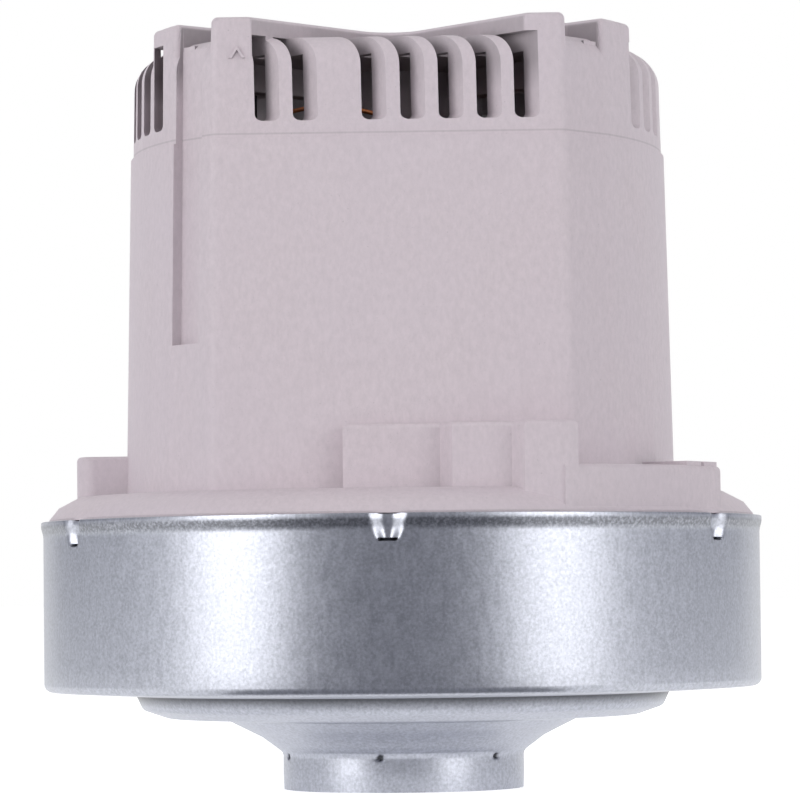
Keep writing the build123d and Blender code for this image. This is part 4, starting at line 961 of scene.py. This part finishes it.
def backdrop_material(name, strength):
    """A near-white surface that background rays see at a set brightness."""
    made, tree, shader = new_material(name)
    grain = noise(tree, scaled(tree), 9.0, 2.0)
    tone = mixed(tree, ramp(tree, grain, 0.2, 0.8), shade(WHITE, 0.90), shade(WHITE, 0.93))
    glow = calc(tree, "MULTIPLY", background_ray(tree), strength)
    fill(tree, shader, {"Base Color": tone, "Roughness": 0.9, "Specular IOR Level": 0.0,
                        "Emission Color": WHITE, "Emission Strength": glow})
    return made


def studio_world():
    """A soft even light that background rays see as plain white."""
    world = bpy.data.worlds.new("studio")
    world.use_nodes = True
    tree = world.node_tree
    tree.nodes.clear()
    dim = add(tree, "ShaderNodeBackground", {"Color": (0.96, 0.98, 1.0, 1.0), "Strength": 0.36})
    plain = add(tree, "ShaderNodeBackground", {"Color": WHITE, "Strength": 1.0})
    both = add(tree, "ShaderNodeMixShader",
               {0: background_ray(tree), 1: dim.outputs[0], 2: plain.outputs[0]})
    add(tree, "ShaderNodeOutputWorld", {"Surface": both.outputs[0]})
    bpy.context.scene.world = world


def softbox(name, turn, distance, height, wide, tall, radiance, tint=EVEN):
    """An area lamp aimed at the motor from an angle round it in degrees, front being zero."""
    lamp = bpy.data.lights.new(name, "AREA")
    lamp.shape = "RECTANGLE"
    lamp.size = wide
    lamp.size_y = tall
    lamp.energy = radiance * math.pi * wide * tall
    lamp.color = tint
    made = bpy.data.objects.new(name, lamp)
    bpy.context.scene.collection.objects.link(made)
    angle = math.radians(turn)
    place = Vector((math.sin(angle) * distance, -math.cos(angle) * distance, height))
    aim = Vector((0.0, 0.0, 0.07)) - place
    turned = aim.to_track_quat("-Z", "Y").to_matrix().to_4x4()
    made.matrix_world = Matrix.Translation(place) @ turned
    return made


def arc_sheet(name, first, last, inner, outer):
    """A strip bent round the shaft line between two edges, each a radius and a height."""
    steps = 24
    vertices, faces = [], []
    for i in range(steps + 1):
        angle = math.radians(first + (last - first) * i / steps)
        for r, z in (inner, outer):
            vertices.append((math.sin(angle) * r, -math.cos(angle) * r, z))
    for i in range(steps):
        faces.append((2 * i, 2 * i + 2, 2 * i + 3, 2 * i + 1))
    return mesh_object(name, vertices, faces)


def reflection_only(made, tone):
    """Gives a studio screen its bluish grey, and shows it in reflections alone."""
    material, tree, shader = new_material(made.name)
    darker, lighter = (tuple(tone * part for part in tint) + (1.0,)
                       for tint in ((0.88, 0.9, 0.99), (0.98, 1.0, 1.14)))
    body = mixed(tree, noise(tree, scaled(tree), 30.0, 2.0), darker, lighter)
    fill(tree, shader, {"Base Color": (0.0, 0.0, 0.0, 1.0), "Specular IOR Level": 0.0,
                        "Emission Color": body, "Emission Strength": 1.0})
    made.data.materials.append(material)
    made.data.shade_smooth()
    made.visible_camera = False
    made.visible_diffuse = False
    made.visible_shadow = False
    made.visible_transmission = False


def photograph_camera():
    """The camera at the photograph's place, tilted up a little and a little rolled."""
    distance, height = 0.760, 0.034
    turn, pitch, roll = (math.radians(angle) for angle in (2.0, 2.746, 0.6))
    lens = bpy.data.cameras.new("photograph")
    lens.lens = 187.65
    lens.sensor_width = 36.0
    lens.clip_start = 0.05
    lens.clip_end = 100.0
    made = bpy.data.objects.new("photograph", lens)
    scene = bpy.context.scene
    scene.collection.objects.link(made)
    across = Vector((math.cos(turn), math.sin(turn), 0.0))
    inward = Vector((-math.sin(turn), math.cos(turn), 0.0))
    sky = Vector((0.0, 0.0, 1.0))
    place = sky * height - inward * distance
    ahead = inward * math.cos(pitch) + sky * math.sin(pitch)
    upright = across.cross(ahead)
    right = across * math.cos(roll) - upright * math.sin(roll)
    up = across * math.sin(roll) + upright * math.cos(roll)
    columns = Matrix((right, up, -ahead)).transposed().to_4x4()
    made.matrix_world = Matrix.Translation(place) @ columns
    scene.camera = made


class MOTOR_OT_studio(bpy.types.Operator):
    """Sets the floor, the soft lamps, the white background and the camera"""

    bl_idname = "motor.studio"
    bl_label = "Studio"

    def execute(self, context):
        half, front_r, near_r, far_r, tall = 40.0, 1.85, 0.062, 1.9, 2.2
        corners = ((-half, -half, 0.0), (half, -half, 0.0), (half, half, 0.0), (-half, half, 0.0))
        floor = mesh_object("studio_floor", corners, [(0, 1, 2, 3)])
        floor.data.materials.append(backdrop_material("studio_floor", 0.72))
        studio_world()
        softbox("left_softbox", -50.0, 1.25, 0.22, 0.62, 1.1, 3.1)
        softbox("right_softbox", 50.0, 1.25, 0.22, 0.62, 1.1, 2.5)
        for name, turn, radiance in (("left_fill", -108.0, 1.3), ("right_fill", 126.0, 1.5)):
            made = softbox(name, turn, 1.5, 0.30, 0.60, 1.1, radiance, (0.94, 1.0, 1.0))
            made.visible_glossy = False
        softbox("top_softbox", 0.0, 0.5, 1.5, 1.0, 0.8, 0.9)
        low, high = (far_r, 0.0), (far_r, tall)
        near, far = (near_r, MM), (front_r, MM)
        for name, first, last, inner, outer, tone in (
                ("studio_screen_front", -36.0, 36.0, low, high, 0.30),
                ("studio_screen_left", -140.0, -66.0, low, high, 0.42),
                ("studio_screen_right", 66.0, 140.0, low, high, 0.42),
                ("studio_card_floor", -34.0, 34.0, near, far, 0.30)):
            reflection_only(arc_sheet(name, first, last, inner, outer), tone)
        photograph_camera()
        context.scene.view_settings.view_transform = "Standard"
        return {"FINISHED"}


# ---- Panel and registration -------------------------------------------------------------------

PIECES = (MOTOR_OT_shroud, MOTOR_OT_housing, MOTOR_OT_springs, MOTOR_OT_balls, MOTOR_OT_leads,
          MOTOR_OT_finishes, MOTOR_OT_studio)


class MOTOR_PT_panel(bpy.types.Panel):
    """Lists the motor's pieces and their sizes and colours"""

    bl_idname = "MOTOR_PT_panel"
    bl_label = "Vacuum motor unit"
    bl_space_type = "VIEW_3D"
    bl_region_type = "UI"
    bl_category = "Motor"

    def draw(self, context):
        layout = self.layout
        for piece in PIECES:
            layout.operator(piece.bl_idname)
        for group in (context.scene.motor_sizes, context.scene.motor_colours):
            box = layout.box()
            for name in group.__annotations__:
                box.prop(group, name)


CLASSES = (MotorSizes, MotorColours) + PIECES + (MOTOR_PT_panel,)


def register():
    """Adds the classes and the scene's size and colour groups."""
    for made in CLASSES:
        bpy.utils.register_class(made)
    bpy.types.Scene.motor_sizes = bpy.props.PointerProperty(type=MotorSizes)
    bpy.types.Scene.motor_colours = bpy.props.PointerProperty(type=MotorColours)


def unregister():
    """Takes them away again."""
    del bpy.types.Scene.motor_colours
    del bpy.types.Scene.motor_sizes
    for made in reversed(CLASSES):
        bpy.utils.unregister_class(made)


def main():
    """Builds every piece and the studio in order."""
    register()
    bpy.ops.motor.shroud()
    bpy.ops.motor.housing()
    bpy.ops.motor.springs()
    bpy.ops.motor.balls()
    bpy.ops.motor.leads()
    bpy.ops.motor.finishes()
    bpy.ops.motor.studio()


if __name__ == "__main__":
    main()
